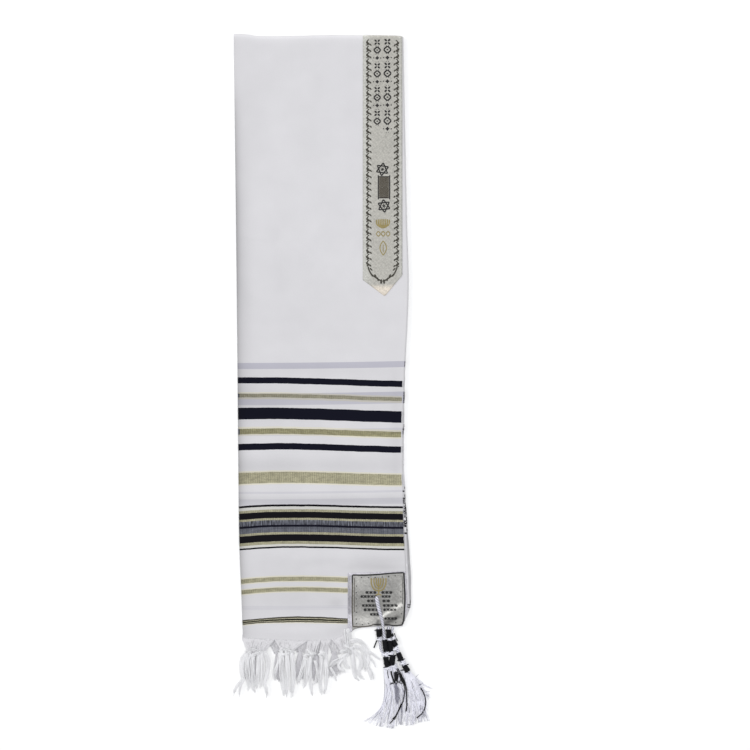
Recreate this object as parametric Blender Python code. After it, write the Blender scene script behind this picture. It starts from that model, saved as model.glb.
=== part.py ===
"""Tallit prayer shawl, folded in four and lying flat.

The shawl is folded end to end and then lengthwise, so four layers lie on each other. The top layer is
a wall of cloth that curls half way down both folds. The three layers below it are one solid, rounded at
the folds and stepped at the free edges. Lengths in the tables are millimetres: x runs to the right,
down runs from the end fold towards the fringe, and z is the height above the table.
"""

import math

import bmesh
import bpy
from mathutils import Vector

MM = 0.001

# Driving dimensions
SHAWL_WIDTH = 506.0
SHAWL_LENGTH = 1806.0
CLOTH = 1.2
SEAM = 0.3
LAYERS = 4
BAND_THICKNESS = 1.0
PATCH_THICKNESS = 1.0
TZITZIT_HOLE = 4.0

# Sizes that follow from them
STACK = LAYERS * CLOTH + (LAYERS - 1) * SEAM
UNDER_STACK = STACK - CLOTH - SEAM
FOLDED_LENGTH = SHAWL_LENGTH / 2
HALF_WIDTH = SHAWL_WIDTH / 4
END_FOLD_RADIUS = CLOTH + SEAM / 2
HEM_SAG = 2 * (CLOTH + SEAM)
HEM_SAG_LENGTH = 22.0
# Where the end fold's line and the tables' x = 0 lie, so that the origin is under the middle of the whole
FOLD_LINE_Y = 517.05
TABLE_X = 0.5
FOLDED_MIDDLE_X = -13.0

# The folded outline, as distances past the nominal half width.
# peek is how far the lower layers stand out from under the top layer on the right.
OUTLINE = (
    # down, left, right, peek
    (-3.0, 7.0, -4.4, -1.6),
    (159.0, 5.0, -1.4, -1.6),
    (276.0, 3.8, 0.4, -1.6),
    (380.0, 3.0, 3.4, -1.6),
    (453.0, 1.8, 0.4, -1.0),
    (546.0, 1.1, -3.5, 1.2),
    (621.0, 0.3, -4.3, 1.8),
    (696.0, -0.3, -3.7, 3.8),
    (768.0, -1.2, -1.3, 5.4),
    (831.0, -4.0, 1.7, 6.0),
    (864.0, -5.4, 1.6, 2.4),
    (885.0, -6.0, -2.4, 0.0),
    (909.0, -6.6, -6.0, 0.0),
)

# How far the end fold and the hem stray from their nominal lines, over the width from left to right.
END_FOLD = ((0.0, -2.5), (0.07, -1.6), (0.14, 1.0), (0.33, 0.9), (0.57, -0.6), (0.86, -1.2), (0.96, 0.1), (1.0, 1.8))
HEM = (
    (0.0, 1.5), (0.15, 3.0), (0.35, 5.0), (0.57, 3.0), (0.645, -5.0), (0.70, -13.5), (0.80, -17.0),
    (0.90, -18.0), (1.0, -18.0),
)

# Soft swells of the stack, where the hidden layers are gathered a little.
SWELLS = (
    # x, down, half_width, half_length, height
    (-70.0, 210.0, 60.0, 150.0, 0.9),
    (30.0, 430.0, 55.0, 120.0, 0.7),
    (-60.0, 640.0, 60.0, 120.0, 0.9),
    (50.0, 720.0, 45.0, 90.0, 0.8),
)

# The rim of the hidden layers from its top to the table. inset columns run inwards from the outline:
# at the side fold, at the end fold and at the free edges. share says how much of the peek a layer takes.
RIM = (
    # side_inset, side_z, end_inset, end_z, share, edge_inset, hem_inset, edge_z
    (2.90, 4.20, 1.90, 4.20, 0.45, 0.4, 24.4, 4.20),
    (2.10, 4.00, 1.60, 3.95, 0.45, 0.0, 24.0, 3.90),
    (1.65, 3.45, 1.50, 3.75, 0.45, 0.0, 24.0, 3.30),
    (1.55, 2.80, 0.80, 3.70, 0.45, 0.4, 24.4, 3.00),
    (1.50, 2.35, 0.10, 3.65, 0.40, 2.4, 28.5, 2.85),
    (0.80, 2.25, 0.55, 3.15, 1.00, 0.3, 27.2, 2.65),
    (0.10, 2.15, 1.60, 2.85, 1.00, 0.0, 27.0, 2.10),
    (0.12, 1.80, 0.55, 2.45, 1.00, 0.3, 27.2, 1.55),
    (0.25, 1.45, 0.10, 1.90, 0.65, 2.4, 29.0, 1.35),
    (0.60, 0.95, 0.00, 1.35, 0.70, 0.3, 1.3, 1.15),
    (1.25, 0.40, 0.40, 0.45, 0.70, 0.0, 1.0, 0.60),
    (2.40, 0.00, 1.35, 0.00, 0.70, 0.5, 1.5, 0.00),
)

ACROSS = (0.0, 0.03, 0.11, 0.22, 0.33, 0.44, 0.55, 0.64, 0.72, 0.82, 0.91, 0.975, 1.0)
SAG_ROWS = (22.0, 15.5, 8.5, 2.5)
ALONG = (
    (0.0, 0.008, 0.03) + tuple(0.07 + 0.05 * step for step in range(18)) + (0.95,)
    + tuple(1.0 - above / FOLDED_LENGTH for above in SAG_ROWS) + (1.0,)
)
CURL_ANGLES = (90.0, 60.0, 30.0)

# The neckband, from the end fold to its point
BAND = dict(left=48.5, right=107.7, left_end=366.0, right_end=359.0, point_x=81.3, point=390.0)
# The square patch on the corner: its lower edge follows the hem and its right edge the selvedge
PATCH = dict(left=26.0, top_left=805.0, top_right=802.5, edge_margin=1.7, hem_margin=0.8)
HOLE_PLACE = (69.0, 843.0)

# Knotted bunches of the fringe. tips are spread from first_tip to last_tip through middle_tip.
TOP_FRINGE = (
    # hem_from, hem_to, knot, first_tip, middle_tip, last_tip, locks
    (-131.5, -84.5, (-109.5, 922.0), (-144.5, 990.0), (-119.0, 993.0), (-95.0, 996.0), 8),
    (-83.5, -35.5, (-61.0, 925.0), (-82.5, 966.0), (-66.0, 995.0), (-53.0, 994.0), 8),
    (-34.5, -15.5, (-22.0, 926.0), (-50.5, 977.0), (-36.0, 981.0), (-27.5, 991.0), 7),
    (-14.5, 1.0, (-7.0, 929.0), (-16.5, 975.0), (-10.5, 990.0), (-3.0, 985.0), 6),
    (2.0, 24.5, (11.5, 917.0), (7.0, 960.0), (38.0, 968.0), (61.0, 948.0), 9),
)
UNDER_FRINGE = (
    (-131.0, -98.0, (-116.0, 921.0), (-132.0, 968.0), (-120.0, 976.0), (-109.0, 970.0), 5),
    (-97.0, -66.0, (-79.0, 926.0), (-84.5, 966.0), (-79.0, 970.0), (-71.0, 972.0), 5),
    (-65.0, -34.0, (-45.0, 922.0), (-55.0, 966.0), (-47.0, 972.0), (-40.0, 966.0), 5),
    (-33.0, -7.0, (-21.0, 928.0), (-29.0, 965.0), (-21.5, 972.0), (-14.0, 968.0), 5),
    (-6.0, 22.0, (6.0, 926.0), (-4.0, 964.0), (6.0, 964.0), (17.0, 958.0), 5),
)

# The corner tassels: strings wound into a cord, with a knot between the wound lengths
TZITZIT = {
    "tzitzit_1": (
        # x, down, z, radius
        (69.0, 843.0, 4.8, 1.4), (69.0, 843.0, 7.5, 1.4), (69.2, 844.4, 8.9, 1.6), (70.4, 850.0, 9.2, 1.8),
        (73.0, 860.0, 9.0, 1.7), (75.0, 868.0, 8.4, 1.6), (77.5, 878.0, 7.0, 1.6), (79.0, 888.0, 6.1, 1.7),
        (79.5, 897.0, 4.8, 1.9), (80.5, 903.0, 4.2, 2.6), (81.3, 906.0, 3.9, 3.2), (82.6, 914.0, 3.9, 3.3),
        (83.4, 923.0, 3.9, 3.2), (83.6, 925.0, 4.0, 3.6), (83.8, 929.5, 4.0, 3.6), (84.0, 931.5, 3.9, 3.2),
        (84.6, 938.0, 3.9, 3.3), (85.2, 944.5, 3.9, 3.1), (85.6, 948.0, 3.6, 2.4),
    ),
    "tzitzit_2": (
        (72.0, 885.9, 2.2, 1.7), (72.0, 888.6, 3.2, 2.6), (72.4, 892.0, 3.8, 3.2), (73.2, 899.0, 3.8, 3.2),
        (74.0, 902.0, 3.4, 2.6), (74.4, 907.0, 3.2, 2.2), (74.8, 916.0, 3.0, 2.3), (75.2, 926.0, 3.0, 2.2),
        (76.6, 936.0, 3.0, 2.2), (78.4, 944.0, 3.0, 2.1),
    ),
    "tzitzit_3": (
        (88.0, 885.5, 2.2, 1.7), (88.0, 888.6, 3.2, 2.6), (88.4, 892.0, 3.9, 3.1), (89.0, 901.0, 3.9, 3.2),
        (89.8, 904.5, 3.9, 2.8), (91.0, 908.5, 3.9, 3.2), (92.2, 921.0, 3.9, 3.2), (92.6, 924.0, 3.9, 2.8),
        (93.2, 927.5, 3.9, 3.2), (94.2, 942.0, 3.9, 3.2), (94.6, 946.0, 3.6, 2.5),
    ),
    "tzitzit_4": (
        (94.2, 885.5, 2.0, 1.4), (95.6, 892.0, 2.2, 1.8), (97.4, 900.0, 3.2, 2.4), (98.4, 906.0, 3.7, 3.1),
        (100.4, 915.0, 3.7, 3.2), (101.2, 918.0, 3.7, 3.5), (103.0, 923.0, 3.7, 3.5), (103.8, 925.5, 3.7, 3.1),
        (107.0, 935.0, 3.7, 3.2), (108.2, 938.0, 3.7, 3.5), (111.0, 943.0, 3.7, 3.5), (112.4, 945.5, 3.7, 3.1),
        (115.6, 953.0, 3.7, 3.2), (116.6, 956.0, 3.4, 2.5),
    ),
}
TASSELS = {
    # first_tip, middle_tip, last_tip, strands
    "tzitzit_1": ((82.0, 1033.0), (88.0, 1036.0), (94.0, 1033.0), 5),
    "tzitzit_2": ((51.0, 1027.0), (66.0, 1034.0), (77.5, 1034.0), 6),
    "tzitzit_3": ((98.5, 1033.0), (105.0, 1035.0), (112.0, 1029.0), 6),
    "tzitzit_4": ((116.5, 1027.0), (132.0, 1026.0), (145.0, 996.0), 10),
}

BAND_ROWS = 16
BAND_SHARES = (0.0, 0.18, 0.37, 0.55, 0.77, 1.0)
PATCH_COLUMNS = 6
PATCH_ROWS = 4

# Yarns of the fringe and the tassels
WELD = 1e-6
STRIP_WIDTH = 2.2
GATHER_THREADS = 4
KNOT_LENGTH = 8.0
KNOT_JITTER = 0.7
THREAD_OVERLAP = 1.5
LOCK_OVERLAP = 1.5
LOCK_STEPS = 5
LOCK_SPREAD = 0.12
LOCK_UNEVEN = 2.5
TASSEL_STEPS = 5
TASSEL_SPREAD = 0.10
TASSEL_ROOT = 2.5
TASSEL_STRAND = 1.1
UNDER_TIPS = 974.0
UNDER_RIGHT = 26.0
UNDER_LOCK_Z = 1.6
TOP_LOCK_Z = 4.7
LANDED_Z = 1.6

# Colours and finish: base colour, roughness
WHITE_WOOL = ((0.82, 0.82, 0.84, 1.0), 0.9)
SILVER_BROCADE = ((0.60, 0.59, 0.54, 1.0), 0.5)
WOUND_STRING = ((0.30, 0.30, 0.33, 1.0), 0.8)


def table_value(rows, at, column=1):
    """The value of a table's column at a place in its first column, along a smooth curve."""
    rows = list(rows)
    at = min(max(at, rows[0][0]), rows[-1][0])
    index = max(i for i in range(len(rows) - 1) if rows[i][0] <= at)
    before, after = rows[max(index - 1, 0)], rows[min(index + 2, len(rows) - 1)]
    start, end = rows[index], rows[index + 1]
    span = end[0] - start[0]
    share = (at - start[0]) / span
    start_slope = (end[column] - before[column]) / (end[0] - before[0]) * span
    end_slope = (after[column] - start[column]) / (after[0] - start[0]) * span
    rise = end[column] - start[column]
    return start[column] + share * (
        start_slope + share * (3 * rise - 2 * start_slope - end_slope + share * (start_slope + end_slope - 2 * rise))
    )


def smooth_step(value):
    value = min(max(value, 0.0), 1.0)
    return value * value * (3 - 2 * value)


def left_edge(down):
    return FOLDED_MIDDLE_X - HALF_WIDTH - table_value(OUTLINE, down, 1)


def right_edge(down, share=None):
    """The top layer's right edge, or with a share the edge of a layer below it."""
    edge = FOLDED_MIDDLE_X + HALF_WIDTH + table_value(OUTLINE, down, 2)
    return edge if share is None else edge + share * table_value(OUTLINE, down, 3)


def end_fold(across):
    return table_value(END_FOLD, across)


def hem(across):
    return FOLDED_LENGTH + table_value(HEM, across)


def share_across(x, down):
    left, right = left_edge(down), right_edge(down)
    return min(max((x - left) / (right - left), 0.0), 1.0)


def hem_drop(across, down):
    """How far the top layer has sunk on to the lowest one, past the hems of the two in between."""
    return HEM_SAG * smooth_step((down - hem(across) + HEM_SAG_LENGTH) / (HEM_SAG_LENGTH - 2.0))


def stack_top(x, down):
    """Height of the top layer's upper face, away from the folds."""
    across = share_across(x, down)
    height = STACK - hem_drop(across, down)
    calm = smooth_step(across / 0.2) * smooth_step((1.0 - across) / 0.2) * smooth_step(down / 60.0)
    for swell_x, swell_down, half_width, half_length, swell in SWELLS:
        distance = ((x - swell_x) / half_width) ** 2 + ((down - swell_down) / half_length) ** 2
        height += swell * calm * math.exp(-distance)
    return height


def hem_corners():
    """The corners of the top layer's hem line, from left to right."""
    corners = []
    for across in ACROSS:
        down = hem(across)
        start = left_edge(down) + END_FOLD_RADIUS
        corners.append((start + across * (right_edge(down) - start), down))
    return corners


def hem_line(first_x, last_x):
    """The stretch of the hem line between two places, with its corners."""
    corners = hem_corners()

    def at(x):
        index = max(i for i in range(len(corners) - 1) if corners[i][0] <= max(x, corners[0][0]))
        (x1, down1), (x2, down2) = corners[index], corners[index + 1]
        return x, down1 + (down2 - down1) * (x - x1) / (x2 - x1)

    return [at(first_x)] + [corner for corner in corners if first_x < corner[0] < last_x] + [at(last_x)]


def point(x, down, z):
    """A place in the shawl's table coordinates as a vector in metres."""
    return Vector(((TABLE_X + x) * MM, (FOLD_LINE_Y - down) * MM, z * MM))


# Mesh building

def material(name, finish):
    made = bpy.data.materials.new(name)
    made.use_nodes = True
    shader = made.node_tree.nodes["Principled BSDF"]
    shader.inputs["Base Color"].default_value = finish[0]
    shader.inputs["Roughness"].default_value = finish[1]
    shader.inputs["Metallic"].default_value = 0.0
    return made


def add_object(name, mesh, home, finish=None):
    made = bpy.data.objects.new(name, mesh)
    home.objects.link(made)
    if finish:
        mesh.materials.append(finish)
        mesh.shade_smooth()
        mesh.set_sharp_from_angle(angle=math.radians(40))
    return made


def mesh_from(name, vertices, faces):
    shape = bmesh.new()
    made = [shape.verts.new(place) for place in vertices]
    for face in faces:
        shape.faces.new([made[index] for index in face])
    bmesh.ops.recalc_face_normals(shape, faces=shape.faces)
    mesh = bpy.data.meshes.new(name)
    shape.to_mesh(mesh)
    shape.free()
    return mesh


def grid_faces(rows, columns, first=0, flip=False):
    faces = []
    for row in range(rows - 1):
        for column in range(columns - 1):
            corner = first + row * columns + column
            face = (corner, corner + columns, corner + columns + 1, corner + 1)
            faces.append(face[::-1] if flip else face)
    return faces


def border(rows, columns):
    """Indices round the edge of a grid, as one loop."""
    loop = list(range(columns))
    loop += [row * columns + columns - 1 for row in range(1, rows)]
    loop += [(rows - 1) * columns + column for column in range(columns - 2, -1, -1)]
    loop += [row * columns for row in range(rows - 2, 0, -1)]
    return loop


def wall(name, upper, lower):
    """A closed wall between two grids of points with the same number of rows and columns."""
    rows, columns = len(upper), len(upper[0])
    count = rows * columns
    vertices = [place for row in upper for place in row] + [place for row in lower for place in row]
    faces = grid_faces(rows, columns) + grid_faces(rows, columns, count, flip=True)
    loop = border(rows, columns)
    for here, there in zip(loop, loop[1:] + loop[:1]):
        faces.append((here, there, there + count, here + count))
    return mesh_from(name, vertices, faces)


# The cloth

def end_fold_place(across, angle, offset):
    """Distance down and drop on the end fold, for a face moved out from the top layer by offset."""
    radius = END_FOLD_RADIUS + offset
    down = end_fold(across) + END_FOLD_RADIUS - radius * math.sin(angle)
    return down, radius * (1 - math.cos(angle))


def top_layer_face(offset):
    """Grid of the top layer moved out by offset: curl rows and columns first, then the flat part."""
    curl = [(math.radians(angle), 0.0) for angle in CURL_ANGLES]
    grid = []
    for end_angle, along in curl + [(0.0, along) for along in ALONG]:
        line = []
        for side_angle, across in curl + [(0.0, across) for across in ACROSS]:
            start_down, end_drop = end_fold_place(across, end_angle, offset)
            down = start_down + along * (hem(across) - start_down)
            fold_radius = (STACK - hem_drop(0.0, down)) / 2
            radius = fold_radius + offset
            start = left_edge(down) + fold_radius - radius * math.sin(side_angle)
            x = start + across * (right_edge(down) - start)
            drop = max(radius * (1 - math.cos(side_angle)), end_drop)
            line.append(point(x, down, stack_top(x, down) + offset - drop))
        grid.append(line)
    return grid


def build_top_layer(home, finish):
    return add_object("top_layer", wall("top_layer", top_layer_face(0.0), top_layer_face(-CLOTH)), home, finish)


def folded_level(level):
    """Grid of places inside one level of the hidden layers' rim, without heights."""
    side_inset, _, end_inset, _, share, edge_inset, hem_inset, _ = level
    grid = []
    for along in ALONG:
        line = []
        for across in ACROSS:
            start_down = end_fold(across) + end_inset
            down = start_down + along * (hem(across) - hem_inset - start_down)
            start = left_edge(down) + side_inset
            line.append((start + across * (right_edge(down, share) - edge_inset - start), down))
        grid.append(line)
    return grid


def rim_height(row, column, level):
    """Height of a rim point from the side fold, the end fold or the free edges that it lies on."""
    _, side_z, _, end_z, _, _, _, edge_z = level
    heights = []
    if column == 0:
        heights.append(side_z)
    if row == 0:
        heights.append(end_z)
    if row == len(ALONG) - 1 or column == len(ACROSS) - 1:
        heights.append(edge_z)
    return sum(heights) / len(heights)


def build_folded_layers(home, finish):
    rows, columns = len(ALONG), len(ACROSS)
    vertices = [
        point(x, down, stack_top(x, down) - CLOTH - SEAM) for line in folded_level(RIM[0]) for x, down in line
    ]
    faces = grid_faces(rows, columns)
    loop = border(rows, columns)
    ring = loop
    for level in RIM[1:]:
        places = folded_level(level)
        next_ring = []
        for index in loop:
            row, column = divmod(index, columns)
            x, down = places[row][column]
            next_ring.append(len(vertices))
            vertices.append(point(x, down, rim_height(row, column, level)))
        for turn in range(len(loop)):
            after = (turn + 1) % len(loop)
            faces.append((ring[turn], ring[after], next_ring[after], next_ring[turn]))
        ring = next_ring
    faces.append(tuple(ring))
    return add_object("folded_layers", mesh_from("folded_layers", vertices, faces), home, finish)


def build_neckband(home, finish):
    """The neckband follows the top layer over the end fold and runs down to its point."""
    def end_at(share):
        point_share = (BAND["point_x"] - BAND["left"]) / (BAND["right"] - BAND["left"])
        if share < point_share:
            return BAND["left_end"] + (BAND["point"] - BAND["left_end"]) * share / point_share
        return BAND["point"] + (BAND["right_end"] - BAND["point"]) * (share - point_share) / (1 - point_share)

    def face(offset):
        grid = []
        curl = [(math.radians(angle), 0.0) for angle in CURL_ANGLES]
        for end_angle, along in curl + [(0.0, step / BAND_ROWS) for step in range(BAND_ROWS + 1)]:
            line = []
            for share in BAND_SHARES:
                x = BAND["left"] + share * (BAND["right"] - BAND["left"])
                start_down, drop = end_fold_place(share_across(x, 0.0), end_angle, offset)
                down = start_down + along * (end_at(share) - start_down)
                line.append(point(x, down, stack_top(x, down) + offset - drop))
            grid.append(line)
        return grid

    mesh = wall("neckband", face(SEAM + BAND_THICKNESS), face(SEAM))
    return add_object("neckband", mesh, home, finish)


def build_corner_patch(home, finish):
    """The patch lies on the corner, with its lower edge along the hem and its right edge on the selvedge."""
    def face(offset):
        grid = []
        above_sag = [(step / PATCH_ROWS, SAG_ROWS[0]) for step in range(PATCH_ROWS + 1)]
        for along, above_hem in above_sag + [(1.0, above) for above in SAG_ROWS[1:] + (PATCH["hem_margin"],)]:
            line = []
            for column in range(PATCH_COLUMNS + 1):
                share = column / PATCH_COLUMNS
                top = PATCH["top_left"] + share * (PATCH["top_right"] - PATCH["top_left"])
                nominal_x = PATCH["left"] + share * (right_edge(top) - PATCH["left"])
                down = top + along * (hem(share_across(nominal_x, top)) - above_hem - top)
                x = PATCH["left"] + share * (right_edge(down) - PATCH["edge_margin"] - PATCH["left"])
                line.append(point(x, down, stack_top(x, down) + offset))
            grid.append(line)
        return grid

    mesh = wall("corner_patch", face(SEAM + PATCH_THICKNESS), face(SEAM))
    return add_object("corner_patch", mesh, home, finish)


def cut_tzitzit_hole(pieces, cutters):
    """The hole for the strings goes through the patch and the top layer."""
    bpy.ops.mesh.primitive_cylinder_add(
        vertices=16, radius=TZITZIT_HOLE / 2 * MM, depth=STACK * MM,
        location=point(*HOLE_PLACE, STACK / 2 + UNDER_STACK + SEAM / 2),
    )
    cutter = as_cutter(bpy.context.object, "tzitzit_hole", cutters)
    for piece in pieces:
        cut = piece.modifiers.new("tzitzit hole", "BOOLEAN")
        cut.operation = "DIFFERENCE"
        cut.object = cutter


# Yarns

def as_cutter(made, name, cutters):
    for home in list(made.users_collection):
        home.objects.unlink(made)
    cutters.objects.link(made)
    made.name = name
    made.hide_render = True
    made.display_type = "WIRE"
    return made


def yarn_mesh(name, strands, resolution):
    """Closed tubes, each a list of places with a radius, as one mesh. Resolution 0 gives 4 sides."""
    curve = bpy.data.curves.new(name, "CURVE")
    curve.dimensions = "3D"
    curve.bevel_depth = MM
    curve.bevel_resolution = resolution
    curve.use_fill_caps = True
    for strand in strands:
        spline = curve.splines.new("POLY")
        spline.points.add(len(strand) - 1)
        for knot, (place, radius) in zip(spline.points, strand):
            knot.co = (*place, 1.0)
            knot.radius = radius
    holder = bpy.data.objects.new(name, curve)
    bpy.context.scene.collection.objects.link(holder)
    evaluated = holder.evaluated_get(bpy.context.evaluated_depsgraph_get())
    mesh = bpy.data.meshes.new_from_object(evaluated)
    mesh.name = name
    bpy.data.objects.remove(holder)
    shape = bmesh.new()
    shape.from_mesh(mesh)
    bmesh.ops.remove_doubles(shape, verts=shape.verts, dist=WELD)
    bmesh.ops.recalc_face_normals(shape, faces=shape.faces)
    shape.to_mesh(mesh)
    shape.free()
    return mesh


def fuse(base, strands, resolution, cutters):
    """Join crossing tubes to a piece, so that both are one solid."""
    tool_name = base.name + "_yarns"
    tool = as_cutter(bpy.data.objects.new(tool_name, yarn_mesh(tool_name, strands, resolution)), tool_name, cutters)
    join = base.modifiers.new("fused yarns", "BOOLEAN")
    join.operation = "UNION"
    join.object = tool
    join.use_self = True


def tip_between(first, middle, last, share):
    rows = ((0.0, *first), (0.5, *middle), (1.0, *last))
    return table_value(rows, share, 1), table_value(rows, share, 2)


def uneven(number):
    """A fixed uneven value from -1 to 1 for the strand of that number."""
    return 2 * ((number * 0.618034) % 1.0) - 1


def in_knot(place, number, further_down):
    """A place of its own inside a knot for each strand, so that no two strands start alike."""
    aside = KNOT_JITTER * uneven(number + 1) * MM
    raised = 0.4 * KNOT_JITTER * uneven(3 * number + 2) * MM
    return place + Vector((aside, -(further_down + 0.3 * uneven(5 * number)) * MM, raised))


def top_lock_height(x, down):
    """The top fringe lies on the fringe below it, and comes down to the table past its ends."""
    landed = max(smooth_step((down - UNDER_TIPS) / 18.0), smooth_step((x - UNDER_RIGHT) / 14.0))
    return TOP_LOCK_Z + (LANDED_Z - TOP_LOCK_Z) * landed


def under_lock_height(x, down):
    return UNDER_LOCK_Z


TOP_LOOK = dict(
    strip_z=(2.7, 1.5), hem_inset=0.0, knot_z=5.6, knot=2.3, thread=0.6, lock=1.25, height=top_lock_height,
)
UNDER_LOOK = dict(
    strip_z=(1.2, 0.15), hem_inset=0.8, knot_z=1.65, knot=1.35, thread=0.5, lock=1.1, height=under_lock_height,
)


def build_fringe(name, row, look, home, finish, cutters):
    """A bunch: a narrow strip parted from the hem, threads gathered into a knot, and loose locks below it."""
    hem_from, hem_to, knot, first_tip, middle_tip, last_tip, locks = row
    strip_top, strip_bottom = look["strip_z"]
    hem_stretch = [(x, down - look["hem_inset"]) for x, down in hem_line(hem_from, hem_to)]
    upper, lower = [], []
    for reach in (SEAM, SEAM + STRIP_WIDTH):
        upper.append([point(x, down + reach, strip_top) for x, down in hem_stretch])
        lower.append([point(x, down + reach, strip_bottom) for x, down in hem_stretch])
    strip = add_object(name, wall(name, upper, lower), home, finish)

    knot_x, knot_down = knot
    knot_place = point(knot_x, knot_down, look["knot_z"])
    strip_z = (strip_top + strip_bottom) / 2
    threads = []
    for step in range(GATHER_THREADS):
        x = hem_from + (hem_to - hem_from) * (step + 0.5) / GATHER_THREADS
        down = hem_line(x, hem_to)[0][1] - look["hem_inset"] + SEAM + STRIP_WIDTH / 2
        threads.append([
            (point(x, down, strip_z), look["thread"]),
            (in_knot(knot_place, step, THREAD_OVERLAP), look["thread"] * 1.3),
        ])
    for number in range(locks):
        share = (number + 0.5) / locks
        tip_x, tip_down = tip_between(first_tip, middle_tip, last_tip, share)
        tip_down += LOCK_UNEVEN * uneven(number + 1)
        strand = [(in_knot(knot_place, number + GATHER_THREADS, -LOCK_OVERLAP), look["lock"] * 0.8)]
        for step in range(1, LOCK_STEPS + 1):
            along = step / LOCK_STEPS
            spread = along + LOCK_SPREAD * math.sin(math.pi * along)
            x = knot_x + (tip_x - knot_x) * spread
            down = knot_down + (tip_down - knot_down) * along
            strand.append((point(x, down, look["height"](x, down)), look["lock"] * (1.0 - 0.55 * along ** 3)))
        threads.append(strand)
    fuse(strip, threads, 0, cutters)
    half_knot = Vector((0.0, KNOT_LENGTH / 2 * MM, 0.0))
    knot_tube = [
        (knot_place + half_knot, look["knot"] * 0.55), (knot_place + half_knot * 0.4, look["knot"]),
        (knot_place - half_knot * 0.4, look["knot"]), (knot_place - half_knot, look["knot"] * 0.6),
    ]
    knot_name = name + "_knot"
    tool = as_cutter(bpy.data.objects.new(knot_name, yarn_mesh(knot_name, [knot_tube], 1)), knot_name, cutters)
    join = strip.modifiers.new("knot", "BOOLEAN")
    join.operation = "UNION"
    join.object = tool
    return strip


def build_tzitzit(name, home, finish, cutters):
    """A corner tassel: its wound cord is one tube of changing radius, and its loose strings fan out below."""
    rows = TZITZIT[name]
    cord = [(point(x, down, z), radius) for x, down, z, radius in rows]
    wound = add_object(name, yarn_mesh(name, [cord], 1), home, finish)
    root_x, root_down, root_z, _ = rows[-1]
    first_tip, middle_tip, last_tip, count = TASSELS[name]
    strands = []
    for number in range(count):
        tip_x, tip_down = tip_between(first_tip, middle_tip, last_tip, number / (count - 1))
        tip_down += LOCK_UNEVEN * uneven(number + 2)
        root = point(root_x, root_down, root_z)
        strand = [(in_knot(root, number, -TASSEL_ROOT), TASSEL_STRAND)]
        for step in range(1, TASSEL_STEPS + 1):
            along = step / TASSEL_STEPS
            x = root_x + (tip_x - root_x) * (along + TASSEL_SPREAD * math.sin(math.pi * along))
            down = root_down + (tip_down - root_down) * along
            z = root_z + (LANDED_Z - root_z) * smooth_step(along * 2.0)
            strand.append((point(x, down, z), TASSEL_STRAND * (1.0 - 0.5 * along ** 3)))
        strands.append(strand)
    fuse(wound, strands, 0, cutters)
    return wound


def build():
    for old in list(bpy.data.objects):
        bpy.data.objects.remove(old)
    home = bpy.data.collections.new("tallit")
    cutters = bpy.data.collections.new("cutters")
    white = material("white woven cloth", WHITE_WOOL)
    silver = material("silver brocade", SILVER_BROCADE)
    strings = material("wound strings", WOUND_STRING)
    build_folded_layers(home, white)
    top_layer = build_top_layer(home, white)
    build_neckband(home, silver)
    patch = build_corner_patch(home, silver)
    cut_tzitzit_hole((top_layer, patch), cutters)
    for number, row in enumerate(TOP_FRINGE, 1):
        build_fringe(f"fringe_top_{number}", row, TOP_LOOK, home, white, cutters)
    for number, row in enumerate(UNDER_FRINGE, 1):
        build_fringe(f"fringe_under_{number}", row, UNDER_LOOK, home, white, cutters)
    for name in TZITZIT:
        build_tzitzit(name, home, strings, cutters)
    for made in (home, cutters):
        bpy.context.scene.collection.children.link(made)


build()
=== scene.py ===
"""Looks of the folded tallit: thin sheets of cloth, a brocade neckband and patch, yarns and tassels.

Lengths are millimetres in the part's table coordinates: x runs to the right, down runs from the end fold
towards the fringe, and z is the height above the table. Ornament and yarns are placed in the photo's
pixels, each 1.5 mm wide, at the places listed.
"""

import math

import bmesh
import bpy
import numpy as np
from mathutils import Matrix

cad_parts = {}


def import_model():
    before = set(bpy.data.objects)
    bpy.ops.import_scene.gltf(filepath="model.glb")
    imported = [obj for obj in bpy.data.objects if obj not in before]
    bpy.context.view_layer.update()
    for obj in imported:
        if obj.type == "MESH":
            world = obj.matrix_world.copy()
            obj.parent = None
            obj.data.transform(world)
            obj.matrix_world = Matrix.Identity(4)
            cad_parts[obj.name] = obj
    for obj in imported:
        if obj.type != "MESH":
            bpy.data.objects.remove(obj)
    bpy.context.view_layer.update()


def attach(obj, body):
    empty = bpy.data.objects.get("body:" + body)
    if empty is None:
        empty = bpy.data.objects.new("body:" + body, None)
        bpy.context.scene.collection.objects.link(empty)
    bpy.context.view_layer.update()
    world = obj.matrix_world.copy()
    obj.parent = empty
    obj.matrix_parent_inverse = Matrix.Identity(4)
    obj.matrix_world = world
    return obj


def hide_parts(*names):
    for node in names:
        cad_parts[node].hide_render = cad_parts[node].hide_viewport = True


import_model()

MM = 0.001

# The folded shawl, as in the part
FOLD_LINE_Y = 517.05
TABLE_X = 0.5
FOLDED_LENGTH = 903.0
STACK = 5.7
HEM_SAG = 3.0
HEM_SAG_LENGTH = 22.0
HEM_FLAT = 2.0
LEFT_SHOULDER = 1.2
LEFT_SHOULDER_REACH = 0.06
# Size of one of the photo's pixels, and the pixel that lies at x = 0 on the end fold
PIXEL = 1.5
PIXEL_X = 330.5
PIXEL_DOWN = 36.0

# The cloth's thickness, and the height of each lower layer's upper face as a share of the stack's
CLOTH = 0.9
LAYER_TOPS = {"second": 3.95 / STACK, "third": 2.55 / STACK, "lowest": 0.9 / STACK}
END_FOLD_RADIUS = (STACK - LAYER_TOPS["second"] * STACK + CLOTH) / 2

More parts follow.
